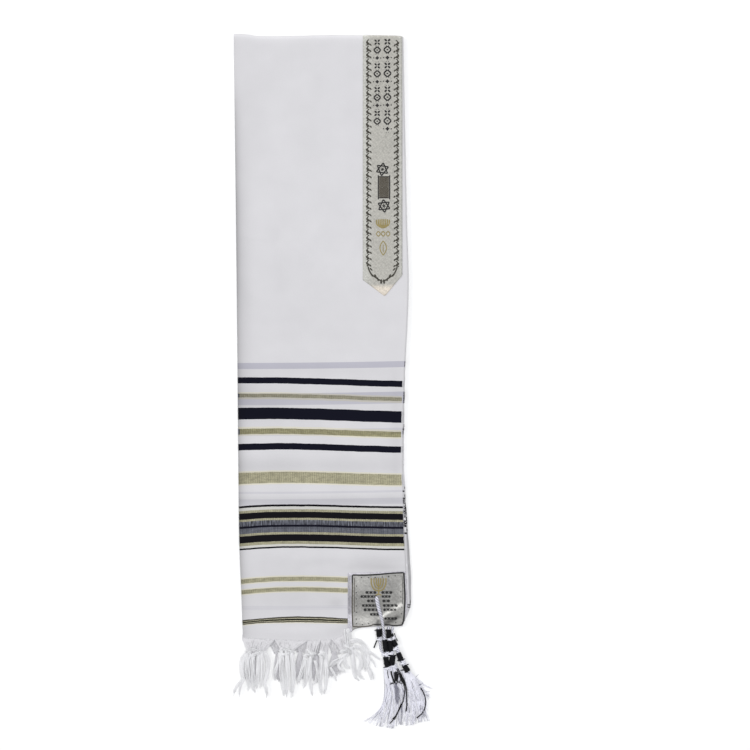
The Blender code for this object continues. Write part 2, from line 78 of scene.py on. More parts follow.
# The folded outline, by its turning points: distance down and x. peek is how far the lower layers stand out
# from under the top one at the right.
LEFT_FOLD = (
    (0, -145), (240, -142), (480, -139.5), (650, -138), (765, -136.5), (850, -133), (910, -131),
)
RIGHT_EDGE = (
    (0, 109), (160, 112), (280, 114.5), (380, 117), (520, 111), (640, 109), (740, 111),
    (830, 115), (862, 115.5), (886, 108), (910, 106),
)
PEEK = (
    (0, -1.6), (400, -1.6), (480, -1), (520, 0.4), (600, 0.8), (690, 2.5), (745, 5.3), (835, 5.8),
    (864, 3.2), (885, 0), (910, 0),
)
END_FOLD = ((0, -2.5), (0.07, -1.6), (0.14, 1), (0.33, 0.9), (0.57, -0.4), (0.86, 0.5), (0.96, 1), (1, 1.8))
HEM = (
    (0, 1.5), (0.15, 3), (0.35, 5), (0.57, 3), (0.645, -5), (0.70, -13.5), (0.80, -17),
    (0.90, -18), (1, -18),
)
SWELLS = (
    # x, down, half_width, half_length, height
    (-70, 210, 60, 150, 0.9),
    (30, 430, 55, 120, 0.7),
    (-60, 640, 60, 120, 0.9),
    (50, 720, 45, 90, 0.8),
)
# Share of the width, and distance from the end fold, that the swells take to rise
SWELL_MARGIN = 0.2
SWELL_START = 60.0
# Creases, each a soft trough (negative) or ridge along a line, that fades out at its ends
CREASES = (
    # x1, down1, x2, down2, half_width, height
    (-136, 309, -78, 312, 5, -0.55),
    (-134, 301, -84, 303, 5, 0.35),
    (-82, 296, -62, 384, 11, -0.95),
    (-60, 300, -42, 380, 10, 0.45),
    (-50, 336, 16, 246, 11, 0.85),
    (-30, 356, 40, 262, 10, -0.55),
    (-12, 376, 52, 292, 10, 0.55),
    (-48, 200, -30, 214, 13, 0.55),
    (-118, 60, -96, 250, 14, 0.35),
    (-92, 70, -78, 230, 12, -0.35),
    (8, 40, 20, 190, 13, 0.35),
    (-130, 430, -30, 442, 10, -0.35),
    (-60, 468, 60, 460, 10, 0.35),
    (80, 632, 108, 652, 6, -0.9),
    (74, 640, 104, 664, 6, 0.5),
    (10, 672, 62, 684, 7, -0.6),
    (54, 676, 106, 694, 7, 0.6),
    (64, 690, 104, 702, 6, -0.6),
    (-110, 690, -40, 682, 8, -0.45),
    (-46, 797, 24, 791, 8, -0.85),
    (-50, 784, 30, 779, 8, 0.5),
    (34, 795, 112, 789, 6, -0.9),
    (20, 783, 104, 776, 7, 0.6),
    (-16, 830, 30, 853, 8, -0.8),
    (-30, 842, 12, 866, 8, 0.5),
    (-128, 842, -60, 858, 8, -0.4),
    (-100, 780, -96, 806, 9, -0.35),
)
# The weave bows on the top layer: it leans down to the right, and sags towards the end fold a third of the
# way across. Each is a distance down and a size in millimetres.
BOW_LEAN = ((400, 0), (520, 5.5), (570, 5), (660, 2.2), (710, 0), (910, 0))
BOW_SAG = ((400, 0), (520, 1.3), (620, 2.5), (710, 3.2), (830, 4.6), (910, 4.4))

# Painted shade (negative) and painted light on the top layer, in soft spots
PAINTED_SHADING = (
    # x, down, half_width, half_length, strength
    (68, 790, 42, 13, -0.07),
    (-50, 832, 85, 40, -0.08),
    (-60, 788, 70, 10, -0.02),
    (-60, 892, 60, 8, 0.07),
    (-122, 120, 20, 80, -0.03),
    (-30, 452, 110, 14, -0.02),
    (0, 420, 100, 16, -0.02),
    (-128, 400, 12, 130, -0.06),
    (-60, 385, 60, 55, -0.03),
    (-20, 501, 170, 9, -0.05),
    (-125, 548, 75, 38, -0.11),
    (0, 548, 220, 40, -0.045),
    (98, 590, 10, 90, -0.07),
    (0, 645, 230, 13, -0.09),
    (-110, 645, 60, 14, -0.06),
    (0, 697, 230, 7, -0.15),
    (72, 797, 46, 6, -0.13),
    (9, 850, 12, 7, -0.1),
)
# Painted shade darkens the cloth along the fold at the left, and a painted highlight lightens it along its
# end fold
FOLD_SHADE = (
    # down, shade at the fold
    (0, 0.08), (66, 0.12), (126, 0.34), (200, 0.46), (320, 0.55), (456, 0.43), (780, 0.41),
    (894, 0.24), (912, 0.20),
)
FOLD_SHADE_REACH = 6.5
END_HIGHLIGHT = 0.26
END_HIGHLIGHT_REACH = 4.0
# Painted shade on the lower layers, and painted light and shade on their edges by how far they stand out
# from under the top layer
LOWER_SHADE = 0.83
PEEK_SHADING = ((0, 1.16), (1.3, 1.12), (2.3, 0.76), (3.8, 0.62), (6, 0.62))

# How the lower layers are laid: shares of the peek, and how much higher their weave lies
LOWER_LAYERS = {
    # layer: peek share, left inset, end inset, hem inset, weave shift, its slope, wobble
    "second": (0.6, 1.3, 1.9, 24, 21.6, 3, 0.25),
    "third": (1, 1.3, 1.6, 27, 27.5, 2, 0.35),
    "lowest": (0.7, 2.85, 1.3, 1, 1.5, -1, 0.3),
}

# Woven stripes: start, end, colour, and 0 for plain, 0.4 to 0.6 for a hatched weave or 1 for gold thread
NAVY = (9, 10, 26)
BLACK = (12, 10, 16)
GOLD = (154, 150, 126)
DEEP_GOLD = (142, 138, 107)
CREAM = (213, 209, 194)
SILVER = (200, 199, 194)
SLATE = (97, 99, 107)
HEM_BLACK = (28, 27, 21)
HEM_BROWN = (70, 67, 58)
HEM_GOLD = (180, 176, 153)


def edged(outer_start, start, end, outer_end, colour):
    """A gold stripe between two cream ones."""
    return (outer_start, start, CREAM, 0), (start, end, colour, 1), (end, outer_end, CREAM, 0)


STRIPES = (
    (511.8, 520.6, NAVY, 0),
    *edged(534, 536, 542, 544.4, GOLD),
    (557.5, 575.1, NAVY, 0),
    *edged(586.4, 588.8, 597.4, 599.6, DEEP_GOLD),
    (611.2, 621.7, NAVY, 0),
    *edged(653.2, 655.2, 672, 674, GOLD),
    (705, 708.1, BLACK, 0),
    (708.1, 712.6, SILVER, 0),
    (712.6, 716.2, GOLD, 1),
    (716.2, 725.6, BLACK, 0),
    (725.6, 728.7, GOLD, 1),
    (728.7, 736.1, SLATE, 0.6),
    (736.1, 739.2, NAVY, 0),
    (739.2, 744.3, SLATE, 0.4),
    (744.3, 747.2, SLATE, 0.4),
    (747.2, 750.8, GOLD, 1),
    (750.8, 761, BLACK, 0),
    (761, 765.4, GOLD, 1),
    (765.4, 768.6, SILVER, 0),
    (768.7, 771.2, BLACK, 0),
    *edged(812.8, 815, 821.2, 823, GOLD),
    *edged(829.2, 831, 837.2, 838.9, GOLD),
    (876.2, 877.7, HEM_BROWN, 0),
    (877.7, 878.4, HEM_GOLD, 1),
    (878.4, 880, HEM_BLACK, 0),
    (880, 880.7, HEM_GOLD, 1),
    (880.7, 882.2, HEM_BROWN, 0),
    (882.2, 883.3, CREAM, 0),
)
STRIPE_RANGES = ((505, 685), (698, 778), (806, 892))
# The narrow band near the hem opens out to more lines and closes again
HEM_BAND = 879.1
HEM_BAND_REACH = 5.5
HEM_BAND_OPENING = (
    (0, 1.2), (0.08, 1.15), (0.16, 1.25), (0.3, 1.5), (0.42, 1.5), (0.5, 1.4), (0.62, 1.2), (0.7, 1.1),
    (1, 1),
)

# The neckband, its point, and the patch on the corner
BAND = dict(left=48.5, right=107.7, left_end=366, right_end=359, point_x=81.3, point=390.6)
BAND_LIFT = 0.15
# A painted highlight lightens the band where it goes round the end fold
BAND_HIGHLIGHT = 0.7
BAND_HIGHLIGHT_REACH = 1.6
TRIM_CLOTH = 0.85
PATCH = dict(left=26, top_left=805, top_right=802.5, edge_margin=1.2, hem_margin=0.6)
HOLE_PLACE = (69, 843)
HOLE_RADIUS = 2.0
PATCH_CREASES = (
    # x1, down1, x2, down2, half_width, height
    (75, 872.6, 105, 852.5, 2, 2.6),
    (88, 876, 108, 864, 3, 1.3),
    (30, 803, 110, 801, 2, 0.7),
    (48, 874, 66, 868, 8, 0.8),
    (60, 880, 70, 858, 4, 0.5),
    (36, 820, 40, 850, 6, 0.4),
    (92, 818, 98, 842, 7, 0.5),
)

# Painted light and shade on the patch's brocade: soft lit and shaded areas, and painted highlights and
# shadows along its creases
PATCH_SHADING = (
    # x, down, half_width, half_length, strength
    (53, 876, 18, 7.6, 1.05),
    (67, 850, 32, 14, -0.22),
    (42, 839, 12, 10, -0.16),
    (60, 812, 26, 6, 0.08),
    (44, 819, 14, 12, 0.20),
    (105.5, 834, 3.5, 20, 0.22),
    (92, 822, 10, 12, -0.10),
    (35, 852, 5, 12, -0.10),
    (74, 824, 10, 11, -0.24),
    (102, 876, 7, 5, 0.34),
)
PATCH_CREASE_SHADING = (
    # x1, down1, x2, down2, half_width, strength
    (72, 873.5, 107, 852, 2.7, 2),
    (28.5, 809, 28.5, 866, 3, -0.43),
    (82, 881, 102, 871, 3.8, -0.72),
    (70, 884, 75, 863, 2.8, -0.80),
    (38, 800, 44, 826, 2.4, 0.16),
    (54, 806, 62, 846, 2.6, 0.12),
    (84, 806, 98, 846, 2.8, -0.12),
)

# Embroidery on the neckband, in pixels. A vine of small leaves runs down both sides and meets below.
VINE_STEP = 6.3
VINE_TOP = 40.5
VINE_LEAVES = 36
VINE_UNIT = (
    # places along one leaf of the left vine, and the thread's width in millimetres
    (((369.2, -0.6), (367.8, 0.6), (367.2, 2.6), (368.2, 5)), 1.7),
    (((366.3, 1.4), (367.6, 3.1), (369.8, 4.6)), 3.3),
    (((370, 3.6), (371.3, 5.8)), 2.3),
    (((366.4, 4.6), (367.8, 5.6)), 1.8),
)
VINE_MIRROR = 765.2
VINE_FOOT = (
    (((368, 266.6), (369.2, 270.5), (371.6, 274.6), (375.4, 277.4), (379.2, 280), (382.6, 281.4)), 2.2),
    (((369.8, 268.2), (372.4, 270.8)), 2.1),
    (((370.6, 273.4), (373.2, 276.8)), 2.6),
    (((374.6, 274.4), (376.4, 278.2)), 2.8),
    (((377.4, 277.6), (378.4, 281.4)), 2.2),
    (((381.4, 279.4), (381, 284)), 3),
)
# Rows of plain ornament, and what each is made of
ORNAMENT_ROWS = (
    # x, first, last, half_width
    (377.2, 42.6, 124.6, 3.5),
    (387.4, 42.2, 135, 3.8),
)
ORNAMENT_STEP = 7.9
LOZENGE_SIDES = (
    (((0, -1), (0.55, -0.5), (1, 0)), 2.3),
    (((1, 0), (0.55, 0.5), (0, 1)), 2.3),
    (((0, 1), (-0.55, 0.5), (-1, 0)), 2.3),
    (((-1, 0), (-0.55, -0.5), (0, -1)), 2.3),
)
LOZENGE_DOT = (((-0.26, 0), (0.26, 0)), 2.4)
PETALS = tuple(
    (((0.2 * math.cos(turn), 0.2 * math.sin(turn)), (1.05 * math.cos(turn), 1.05 * math.sin(turn))), 3)
    for turn in [math.pi / 4 + math.pi / 2 * number for number in range(4)]
)
SMALL_DIAMOND = (
    (((-0.52, 0), (0.52, 0)), 3.2),
    (((0, -0.55), (0, 0.55)), 3),
    (((-1.15, -0.12), (-0.85, 0.12)), 2),
    (((0.85, -0.12), (1.15, 0.12)), 2),
)
ORNAMENT_CYCLE = (PETALS, (*LOZENGE_SIDES, LOZENGE_DOT), SMALL_DIAMOND)
STARS = (
    # x, down, radius, lean in degrees
    (382.4, 169.6, 6.6, 8),
    (384, 206.2, 6.6, -6),
)
STAR_THREAD = 2.0
PANEL = (384, 177.4, 197.6, 10.6)

# Gold motifs: a fan, a row of lozenges and a leaf
GOLD_FAN = (382.9, 227.2, 8.2, 8)
GOLD_LOZENGES = ((378.4, 234), (383.2, 234), (388, 234))
GOLD_LEAF = (
    (((383.2, 241), (380.4, 245.4), (380.2, 250), (383.2, 255.6)), 1.5),
    (((383.2, 241), (386, 245.4), (386.2, 250), (383.2, 255.6)), 1.5),
    (((383.2, 244.5), (383.2, 253)), 1.1),
)

# On the patch: a dark border with a fine inner line and dots, a lamp stand in gold, and rows of ornament
PATCH_BORDER = (
    (((352.4, 574.7), (365, 574.9), (378, 574.2), (391, 573), (403.8, 572.4)), 2.2),
    (((403.8, 572.2), (404.4, 585), (404.9, 598), (404.4, 610), (403.6, 620), (402.2, 624.6)), 2.5),
    (((402.4, 624.4), (396, 625.6), (388, 624.6), (380, 624.2), (373.4, 624.2)), 1.8),
    (((402.2, 576), (402.7, 590), (402.6, 604)), 0.7),
    (((352.4, 574.7), (352.3, 579), (352.3, 583)), 2.2),
)
PATCH_BROWN_EDGE = (
    # the left side and the lower left, in finer brown thread
    (((373.6, 624.2), (368.4, 626), (360, 626.6), (352.8, 626.4)), 1.4),
    (((352.8, 626.4), (352.2, 612), (352.2, 594), (352.4, 582)), 1.7),
    (((354.4, 577.5), (354.4, 595), (354.4, 612)), 0.9),
)
PATCH_DOTS = (
    (361.6, 577.2), (368.4, 577.2), (375.2, 577.2), (382.2, 576.6), (388.6, 576.4), (395.2, 575.4),
    (356.4, 585.8), (356.4, 592.4), (356.4, 598.6), (356.4, 605.6), (356.4, 612), (356.4, 618.8),
    (356.6, 623.4), (400.8, 591.4), (400.8, 596.8), (401.6, 606.8), (401.4, 613.4), (395.8, 622.4),
    (362.6, 624.4), (368.6, 623.4),
)
LAMP_BRANCHES = ((2.2, 586), (4.6, 588.4), (7.3, 590.8))
LAMP_MIDDLE = 378.6
LAMP_TOP = 577.6
LAMP_FOOT = 594.0
# Shares of a branch: out from the middle, and down
LAMP_BEND = ((1, 0), (0.98, 0.45), (0.62, 0.86), (0, 1))
PATCH_ROWS = (
    # down, first, last of each stretch
    (592.2, 365, 392.8),
    (596.2, 360, 391),
    (600.6, 366.6, 390.4),
    (605.2, 361.6, 398),
    (609.4, 363.2, 396.6),
    (614, 369.6, 383.6),
    (618.2, 384, 397.4),
)

LOZENGE_STEP = 3.5

# Locks of the fringe, in pixels: each row is x, down and width along a lock, then its number of fibres
LOCKS = {
    "fringe_top_1": (
        (((248, 652, 3), (243.8, 657, 4.5), (242.2, 664, 4.6), (242.2, 672, 4.2), (243.2, 679, 3.4),
          (239, 683.5, 3), (235, 690, 2.4), (233.4, 698, 1.2)), 9),
        (((245, 678, 2), (241.5, 684, 2), (239.8, 690, 1.6), (239.5, 698, 0.8)), 4),
        (((250.5, 650, 3.5), (247.8, 658, 4.4), (247.2, 668, 4.6), (248.2, 678, 4.4), (249.5, 685, 3.6),
          (247.5, 692, 1.8)), 9),
        (((254, 653, 4), (252.6, 662, 5.2), (252.4, 674, 5.4), (253, 685, 4.6), (255.8, 694.5, 1.6)), 10),
        (((259, 652, 4), (258.2, 662, 4.8), (257.8, 674, 4.8), (257, 684, 3.8), (255.6, 690, 2)), 9),
        (((262, 651, 3.4), (262.2, 662, 3.6), (262.4, 674, 3.4), (261.2, 685, 2.6), (260.5, 689, 1.4)), 7),
        (((264.5, 651, 3.4), (268, 659, 4), (268.2, 668, 4), (266.4, 677, 3.6), (264.6, 682.5, 3),
          (266.6, 690, 3), (267, 696, 2.2), (265.8, 701, 0.8)), 9),
    ),
    "fringe_top_2": (
        (((281, 650, 4), (281.4, 662, 5.4), (281.4, 674, 5.6), (283.2, 684, 4.8), (284.6, 698, 3)), 10),
        (((279.6, 652, 2.4), (277.8, 663, 3), (275.4, 671, 3.2), (274.8, 677, 2.8), (276.6, 681.6, 1)), 6),
        (((286.5, 650, 4.2), (287.4, 664, 5), (287.4, 678, 5), (286.6, 690, 4), (286.5, 698.5, 3)), 9),
        (((291, 650, 4), (292.8, 662, 5), (293.4, 676, 5), (292.4, 688, 4.4), (291.2, 699, 3.2)), 10),
    ),
    "fringe_top_3": (
        (((305.5, 656, 4), (302.6, 668, 4.6), (299.4, 678, 4.4), (296.8, 684.6, 2)), 9),
        (((307.5, 658, 4), (306.4, 672, 5), (304.8, 684, 4.6), (302, 688.6, 2.6)), 9),
        (((311, 655, 4), (310, 668, 4.4), (310.8, 680, 3.6), (312, 690, 3.2), (312.2, 697.4, 2.2)), 8),
        (((315, 660, 3.4), (317.6, 670, 3.6), (316, 680, 3.2), (311.6, 686, 1.6)), 6),
    ),
    "fringe_top_4": (
        (((321, 655, 3.6), (321.4, 668, 4.6), (320.2, 680, 4.4), (321.8, 696, 2.6)), 9),
        (((325.6, 652, 3.6), (326.4, 666, 4.4), (326.8, 678, 4), (325.6, 688, 3.2), (323, 696, 1.4)), 8),
    ),
    "fringe_top_5": (
        (((349, 653, 4), (341, 659, 5), (333, 663.5, 5), (328.4, 669, 2.6)), 9),
        (((330.2, 667, 2), (334.4, 673.7, 2.8), (337, 681.8, 1.2)), 5),
        (((343, 658, 3), (338.6, 665, 4), (343, 670, 3.6), (346.6, 672.6, 1.6)), 7),
        (((344, 656, 3), (346, 664, 4.6), (350.6, 669, 3.4)), 7),
        (((351.2, 646, 3), (353.3, 660.5, 4.6), (354.3, 670, 4.4), (355.4, 677, 3.6), (360.4, 681.6, 2)), 9),
        (((353.4, 650, 3.4), (360, 657.6, 4.4), (360.9, 665.2, 4.4), (358.2, 672.3, 4), (362, 678, 3.2),
          (366.2, 679, 1.6)), 9),
        (((352.4, 645.4, 3.4), (360.4, 648.7, 4.6), (364.2, 654.8, 4.6), (365, 662.8, 4.4),
          (362.2, 671, 2.4)), 9),
        (((350.6, 641, 3.6), (358.6, 640.4, 4.8), (363.8, 645.4, 4.8), (367.2, 652, 4.6), (368.2, 659, 4.4),
          (367.6, 666, 3.6), (364.2, 673, 1.8)), 10),
        (((365.6, 650.6, 2.4), (371.7, 652.9, 3), (376, 656.4, 3), (381, 660.4, 1.6)), 6),
        (((367.4, 655.4, 2.2), (373, 661.4, 2.4), (376.4, 668.8, 0.9)), 5),
        (((367.8, 666, 2.4), (370.4, 672, 5), (371.8, 677.4, 5.6), (372, 681.2, 2.4)), 9),
        (((346.6, 628.4, 5), (347.6, 633.6, 8), (348.6, 640, 7), (347.6, 648, 4)), 12),
    ),
}
WRAPS = {
    "fringe_top_1": (
        ((246.6, 653.2, 3), (250, 649, 4), (256.4, 649.4, 4), (262.6, 654.6, 3)),
        ((249.6, 656.4, 2.4), (256, 653.6, 3.4), (263.6, 649.6, 3)),
    ),
    "fringe_top_2": (
        ((279.4, 651.6, 3), (284, 648.4, 4.2), (290.6, 649.2, 4.2), (295, 654.4, 2.6)),
        ((281, 654.8, 2.4), (288, 653, 3.4), (294.4, 648.8, 2.6)),
    ),
    "fringe_top_3": (
        ((303, 656.6, 3), (309, 653.6, 3.6), (318.6, 653.2, 2.6)),
        ((306.8, 648.6, 3), (311.4, 653, 3.6), (313.2, 660, 2.6)),
    ),
    "fringe_top_4": (
        ((318.2, 655.4, 2.6), (322.4, 652.4, 3.4), (328.2, 654.2, 2.4)),
        ((319.8, 650.2, 2.6), (323.6, 654, 3.4), (325.8, 660, 2.2)),
    ),
    "fringe_top_5": (
        ((339.6, 652.6, 3), (344.6, 650.2, 3.8), (351.6, 652.6, 2.8)),
        ((344.2, 645, 3), (349.2, 648.8, 3.8), (353, 655, 2.8)),
    ),
}
# Where each bunch's threads leave the hem, and where they meet, in table millimetres
GATHERS = {
    # node: hem from, hem to, neck from, neck to, neck down, height of the neck
    "fringe_top_1": (-132.4, -84.5, -124.5, -96, 924, 4.4),
    "fringe_top_2": (-83.5, -35.5, -77.5, -54.5, 922, 4.4),
    "fringe_top_3": (-34.5, -15.5, -40, -20, 926, 4.4),
    "fringe_top_4": (-14.5, 1, -16.5, -4, 925, 4.4),
    "fringe_top_5": (2, 24.5, 14, 29, 922, 4.4),
    "fringe_under_1": (-131, -98, -122, -110, 921, 1.6),
    "fringe_under_2": (-97, -66, -84, -73, 926, 1.6),
    "fringe_under_3": (-65, -34, -50, -40, 922, 1.6),
    "fringe_under_4": (-33, -7, -25, -16, 928, 1.6),
    "fringe_under_5": (-6, 22, 2, 12, 926, 1.6),
}
UNDER_LOCKS = {
    # knot, first tip, middle tip and last tip in table millimetres
    "fringe_under_1": ((-116, 921), (-132, 968), (-120, 976), (-109, 970)),
    "fringe_under_2": ((-79, 926), (-84.5, 966), (-79, 970), (-71, 972)),
    "fringe_under_3": ((-45, 922), (-55, 966), (-47, 972), (-40, 966)),
    "fringe_under_4": ((-21, 928), (-29, 965), (-21.5, 972), (-14, 968)),
    "fringe_under_5": ((6, 926), (-4, 964), (6, 964), (17, 958)),
}

# The tassels, in pixels. Wound lengths are black, with white knots between them.
WINDINGS = {
    # first end, last end, outer radius in millimetres, height of the middle
    "tzitzit_1": (
        ((384.6, 639.6), (386.2, 651.2), 3.9, 4.3),
        ((385.6, 656.6), (387.6, 667), 3.9, 4.2),
    ),
    "tzitzit_2": (
        ((379, 628.9), (379.4, 636.4), 4.1, 4.6),
    ),
    "tzitzit_3": (
        ((388.6, 629.2), (389, 637.6), 3.8, 4.2),
        ((389.8, 640.6), (391.2, 651.2), 3.8, 4.1),
        ((392.8, 654.6), (391.8, 665), 4.1, 4.6),
    ),
    "tzitzit_4": (
        ((391.4, 633.4), (393, 638.4), 2.5, 3.6),
        ((393.4, 639.6), (396, 645.8), 3.4, 4.3),
        ((398.4, 652.4), (401.4, 660.4), 3.6, 4.1),
        ((404.2, 665.2), (408, 671.4), 3.8, 4.1),
    ),
}
WINDING_FULLNESS = 1.17
KNOTS = {
    # middle, half width across, radius of the strings in millimetres
    "tzitzit_1": (((386, 654.2), 4.2), ((387.8, 668.4), 3)),
    "tzitzit_2": (((379.6, 639), 3),),
    "tzitzit_3": (((389.8, 638.9), 2.2), ((391, 653.2), 3.4), ((394.4, 666), 3.2)),
    "tzitzit_4": (((393.8, 637.4), 2), ((395.6, 648.8), 3.4), ((403, 662.8), 3)),
}
CORDS = {
    # the strings' path under the windings: x, down, height and radius in millimetres
    "tzitzit_1": (
        (69, 842, 4.8, 1.6), (69, 842.2, 7.6, 2.3), (69.4, 844.6, 8.6, 2.6), (70.6, 850, 8.8, 2.7),
        (72.8, 859, 8.6, 2.5), (75.4, 868, 8.2, 2.3), (77.6, 878, 7.1, 2), (79.2, 888, 6.1, 1.8),
        (80.2, 897, 5.2, 1.8), (81.2, 905.4, 4.3, 2.4), (83.6, 923, 4.3, 2.4), (84.4, 932, 4.3, 2.4),
        (85, 946, 4.2, 2.3), (85.2, 948.5, 4, 2.2),
    ),
    "tzitzit_2": (
        (72, 885.4, 2.2, 1.6), (71.6, 889.8, 3.6, 2.2), (72.8, 900.8, 3.7, 2.2), (73.8, 905, 3, 1.9),
        (74.8, 914, 2.6, 1.7), (76, 921, 2.3, 1.5), (80.4, 927.6, 1.7, 1.2), (82.8, 936, 1.6, 1),
        (84, 947, 1.6, 1),
    ),
    "tzitzit_3": (
        (87.6, 885.2, 2.2, 1.6), (86.6, 890, 3.8, 2.2), (88, 901, 4, 2.3), (89.2, 907, 4, 2.3),
        (91.2, 922.8, 4.1, 2.3), (92.4, 928.5, 4.1, 2.3), (94.4, 943, 4.1, 2.3), (96, 946.5, 4, 2.3),
    ),
    "tzitzit_4": (
        (93.6, 885.2, 2, 1.4), (92.2, 897, 3.2, 1.8), (94.8, 906.2, 4.2, 2.2), (98.8, 916.5, 4.2, 2.2),
        (101.6, 924.5, 4.1, 2.2), (106.4, 936.6, 4.1, 2.2), (110.6, 943.8, 4.1, 2.2), (116.2, 953, 4, 2.2),
        (117.4, 955.4, 3.6, 2.2),
    ),
}
TASSEL_GUIDES = (
    ((384, 667.5), (384.3, 676), (385.7, 684), (386.1, 692), (384.4, 701), (379.8, 709.5), (373, 716.5),
     (365, 721.8)),
    ((385.2, 667.5), (386.4, 678), (387.8, 690), (387.2, 701), (384.4, 710), (380.8, 718), (378, 726)),
    ((386.6, 667.5), (388.8, 680), (390.8, 694), (390.8, 708), (389, 720), (387.6, 727.5)),
    ((388.4, 667.5), (391.6, 682), (394.8, 696), (395.6, 710), (394.4, 722), (392.6, 728)),
    ((392.6, 666), (396.2, 682), (398.8, 696), (400.2, 710), (399.6, 724.5)),
    ((396.2, 666), (400.8, 682), (404.6, 696), (406.8, 710), (405.8, 725.5)),
    ((404.4, 671), (408, 684), (411.5, 698), (413, 712), (411.6, 724.5)),
    ((406.8, 671.5), (412, 682), (417.4, 696), (419.6, 710), (418.2, 722.5)),
    ((409.2, 671.5), (415.2, 681), (421.4, 690), (424.4, 701), (424.4, 712), (427, 721)),
    ((410.2, 671), (415, 676.4), (420.4, 683.4), (425.6, 688.4), (431.6, 692.6)),
)
TASSEL_FANS = {
    # first guide, last guide, fibres
    "tzitzit_2": ((0, 1, 26),),
    "tzitzit_1": ((1, 3, 40),),
    "tzitzit_3": ((3, 4, 16), (4, 6, 44)),
    "tzitzit_4": ((6, 8, 64), (8, 9, 12)),
}
TUFTS = {
    # start, reach in pixels, direction in degrees from the right, number of strings
    "tzitzit_4": (
        ((413, 680), 7, -20, 9),
        ((417, 686), 7.5, -15, 9),
        ((424, 693), 7, 15, 9),
        ((421, 706), 5.5, 60, 6),
        ((423, 710), 6, 75, 8),
    ),
}
BLACK_STRINGS = {
    # places in pixels and the string's radius in millimetres
    "tzitzit_1": (
        (((388.4, 668), (387.6, 672), (388.6, 678)), 0.9),
        (((391, 670.8), (391.8, 675), (393.4, 679.4), (394.8, 682.8)), 2),
        (((390.4, 684.2), (391.8, 682.9), (393.4, 683.2)), 1.4),
    ),
    "tzitzit_2": (
        (((378.9, 636), (376.6, 641), (373.9, 647.8)), 1.5),
        (((377.6, 631.6), (376, 629.4)), 1.1),
    ),
    "tzitzit_3": (
        (((395.6, 671.2), (395.9, 675), (395.6, 680.8)), 2.1),
        (((397, 671.6), (396.9, 675.6), (396.2, 680.4)), 1.9),
        (((394.4, 672), (394.9, 675.4), (395.2, 679.6)), 1.5),
        (((398.2, 673.4), (398, 676.8), (397, 681.4)), 1.2),
        (((399.2, 675.6), (400.4, 679), (399.4, 682.2)), 0.8),
        (((399.6, 672.6), (400.8, 676.4), (402.8, 680.6), (404.6, 685.6)), 1.9),
        (((400.2, 677), (401.2, 680), (403.4, 682.6)), 1.5),
        (((396.4, 684), (397.4, 681.8), (398.8, 681.6)), 1.1),
        (((397.4, 667.6), (402, 676.2), (405.4, 684), (406.4, 692), (406.8, 704), (406.2, 711)), 1.5),
        (((396.4, 668.6), (400.8, 677), (403.8, 684.4), (404.9, 690), (403.6, 698), (401.4, 705.6),
          (397.6, 712.4), (393.6, 719), (390, 723.2)), 1.1),
        (((403.6, 700.4), (399.8, 707.6), (397.8, 712.6), (394.6, 719.6)), 0.9),
        (((401, 703.6), (398.6, 709.4), (396.4, 714.6), (392.6, 718.6)), 0.9),
        (((398, 681.6), (401, 683), (404.4, 682.6)), 0.7),
    ),
    "tzitzit_4": (
        (((420.6, 687.6), (423.4, 692.2), (425.4, 698.6), (425.2, 706), (423, 712), (416.8, 717.8)), 1.3),
        (((402.4, 664.6), (403.8, 667.4), (406.4, 666.8)), 1.2),
        (((400.4, 670.2), (404, 669.6)), 1.2),
        (((394.4, 633), (395.6, 637), (397.6, 640.6)), 1.1),
    ),
}

CLOTH_WHITE = (209, 208, 211)
# How much of its own light the cloth keeps over a dark stripe of the next layer
CLOTH_SHADE = 0.72
CLOTH_ROUGHNESS = 0.86
# Kinds of weave above these are hatched or gold, and gold alone
FANCY_WEAVE = 0.25
GOLD_WEAVE = 0.75
# Spacings in millimetres: threads, and the weft's beads past the selvedge and ticks in it
WARP_SPACING = 1.1
WEFT_SPACING = 1.0
BEAD_SPACING = 3.7
TICK_SPACING = 1.9
# Marks a lower layer in the UV map "below": its see-through value is less
LOWER_MARK = 0.01
# In metres: the pale selvedge's width, how much of it is lost towards the hem and between which places
SELVEDGE = 0.0026
SELVEDGE_LOSS = 0.0018
SELVEDGE_NARROWS = (0.64, 0.70)
# Gold thread looks blue-grey this close to the fold, as far down as this, in metres
TURN_WIDTH = 0.0026
TURN_END = 0.62
TURNED_GOLD = (84, 88, 100)
# The band's peach point and paler sides, in metres: where they start and fade
BAND_TIP = 0.3735
BAND_TIP_FADE = 0.0035
BAND_MIDDLE = 0.0805
BAND_FADE = (0.0215, 0.0245)
BAND_SIDE_FADE = (0.016, 0.029)
BAND_BACKING = (216, 206, 192)
BAND_SIDE = (196, 197, 192)
# The patch's pale margins, in metres: at the left, above and at the right
PATCH_MARGINS = (0.0361, 0.8086, 0.1115)
BAND_TINT = (168, 166, 159)
PATCH_TINT = (149, 148, 145)
MARGIN_TINT = (192, 190, 198)
THREADS = {
    # tint, roughness, metallic
    "vine_thread": ((57, 54, 45), 0.75, 0),
    "black_thread": ((24, 23, 24), 0.75, 0),
    "brown_thread": ((64, 57, 44), 0.75, 0),
    "gold_thread": ((136, 122, 70), 0.5, 0.15),
}
YARNS = {
    # tint, roughness, sheen, how much it varies
    "white_yarn": ((229, 229, 231), 0.9, 0.08, 0.16),
    "cloth_yarn": ((215, 214, 217), 0.9, 0.08, 0.12),
    # a darker copy of the yarn, painted shade on the fringe beneath the top one
    "shaded_yarn": ((205, 204, 208), 0.9, 0.05, 0.16),
    # a grey string that stands for shade between the white strings: painted shade
    "shade_string": ((136, 136, 150), 0.85, 0, 0.3),
    "tassel_white": ((232, 232, 241), 0.85, 0.1, 0.3),
    "black_string": ((9, 9, 14), 0.75, 0, 0.3),
}

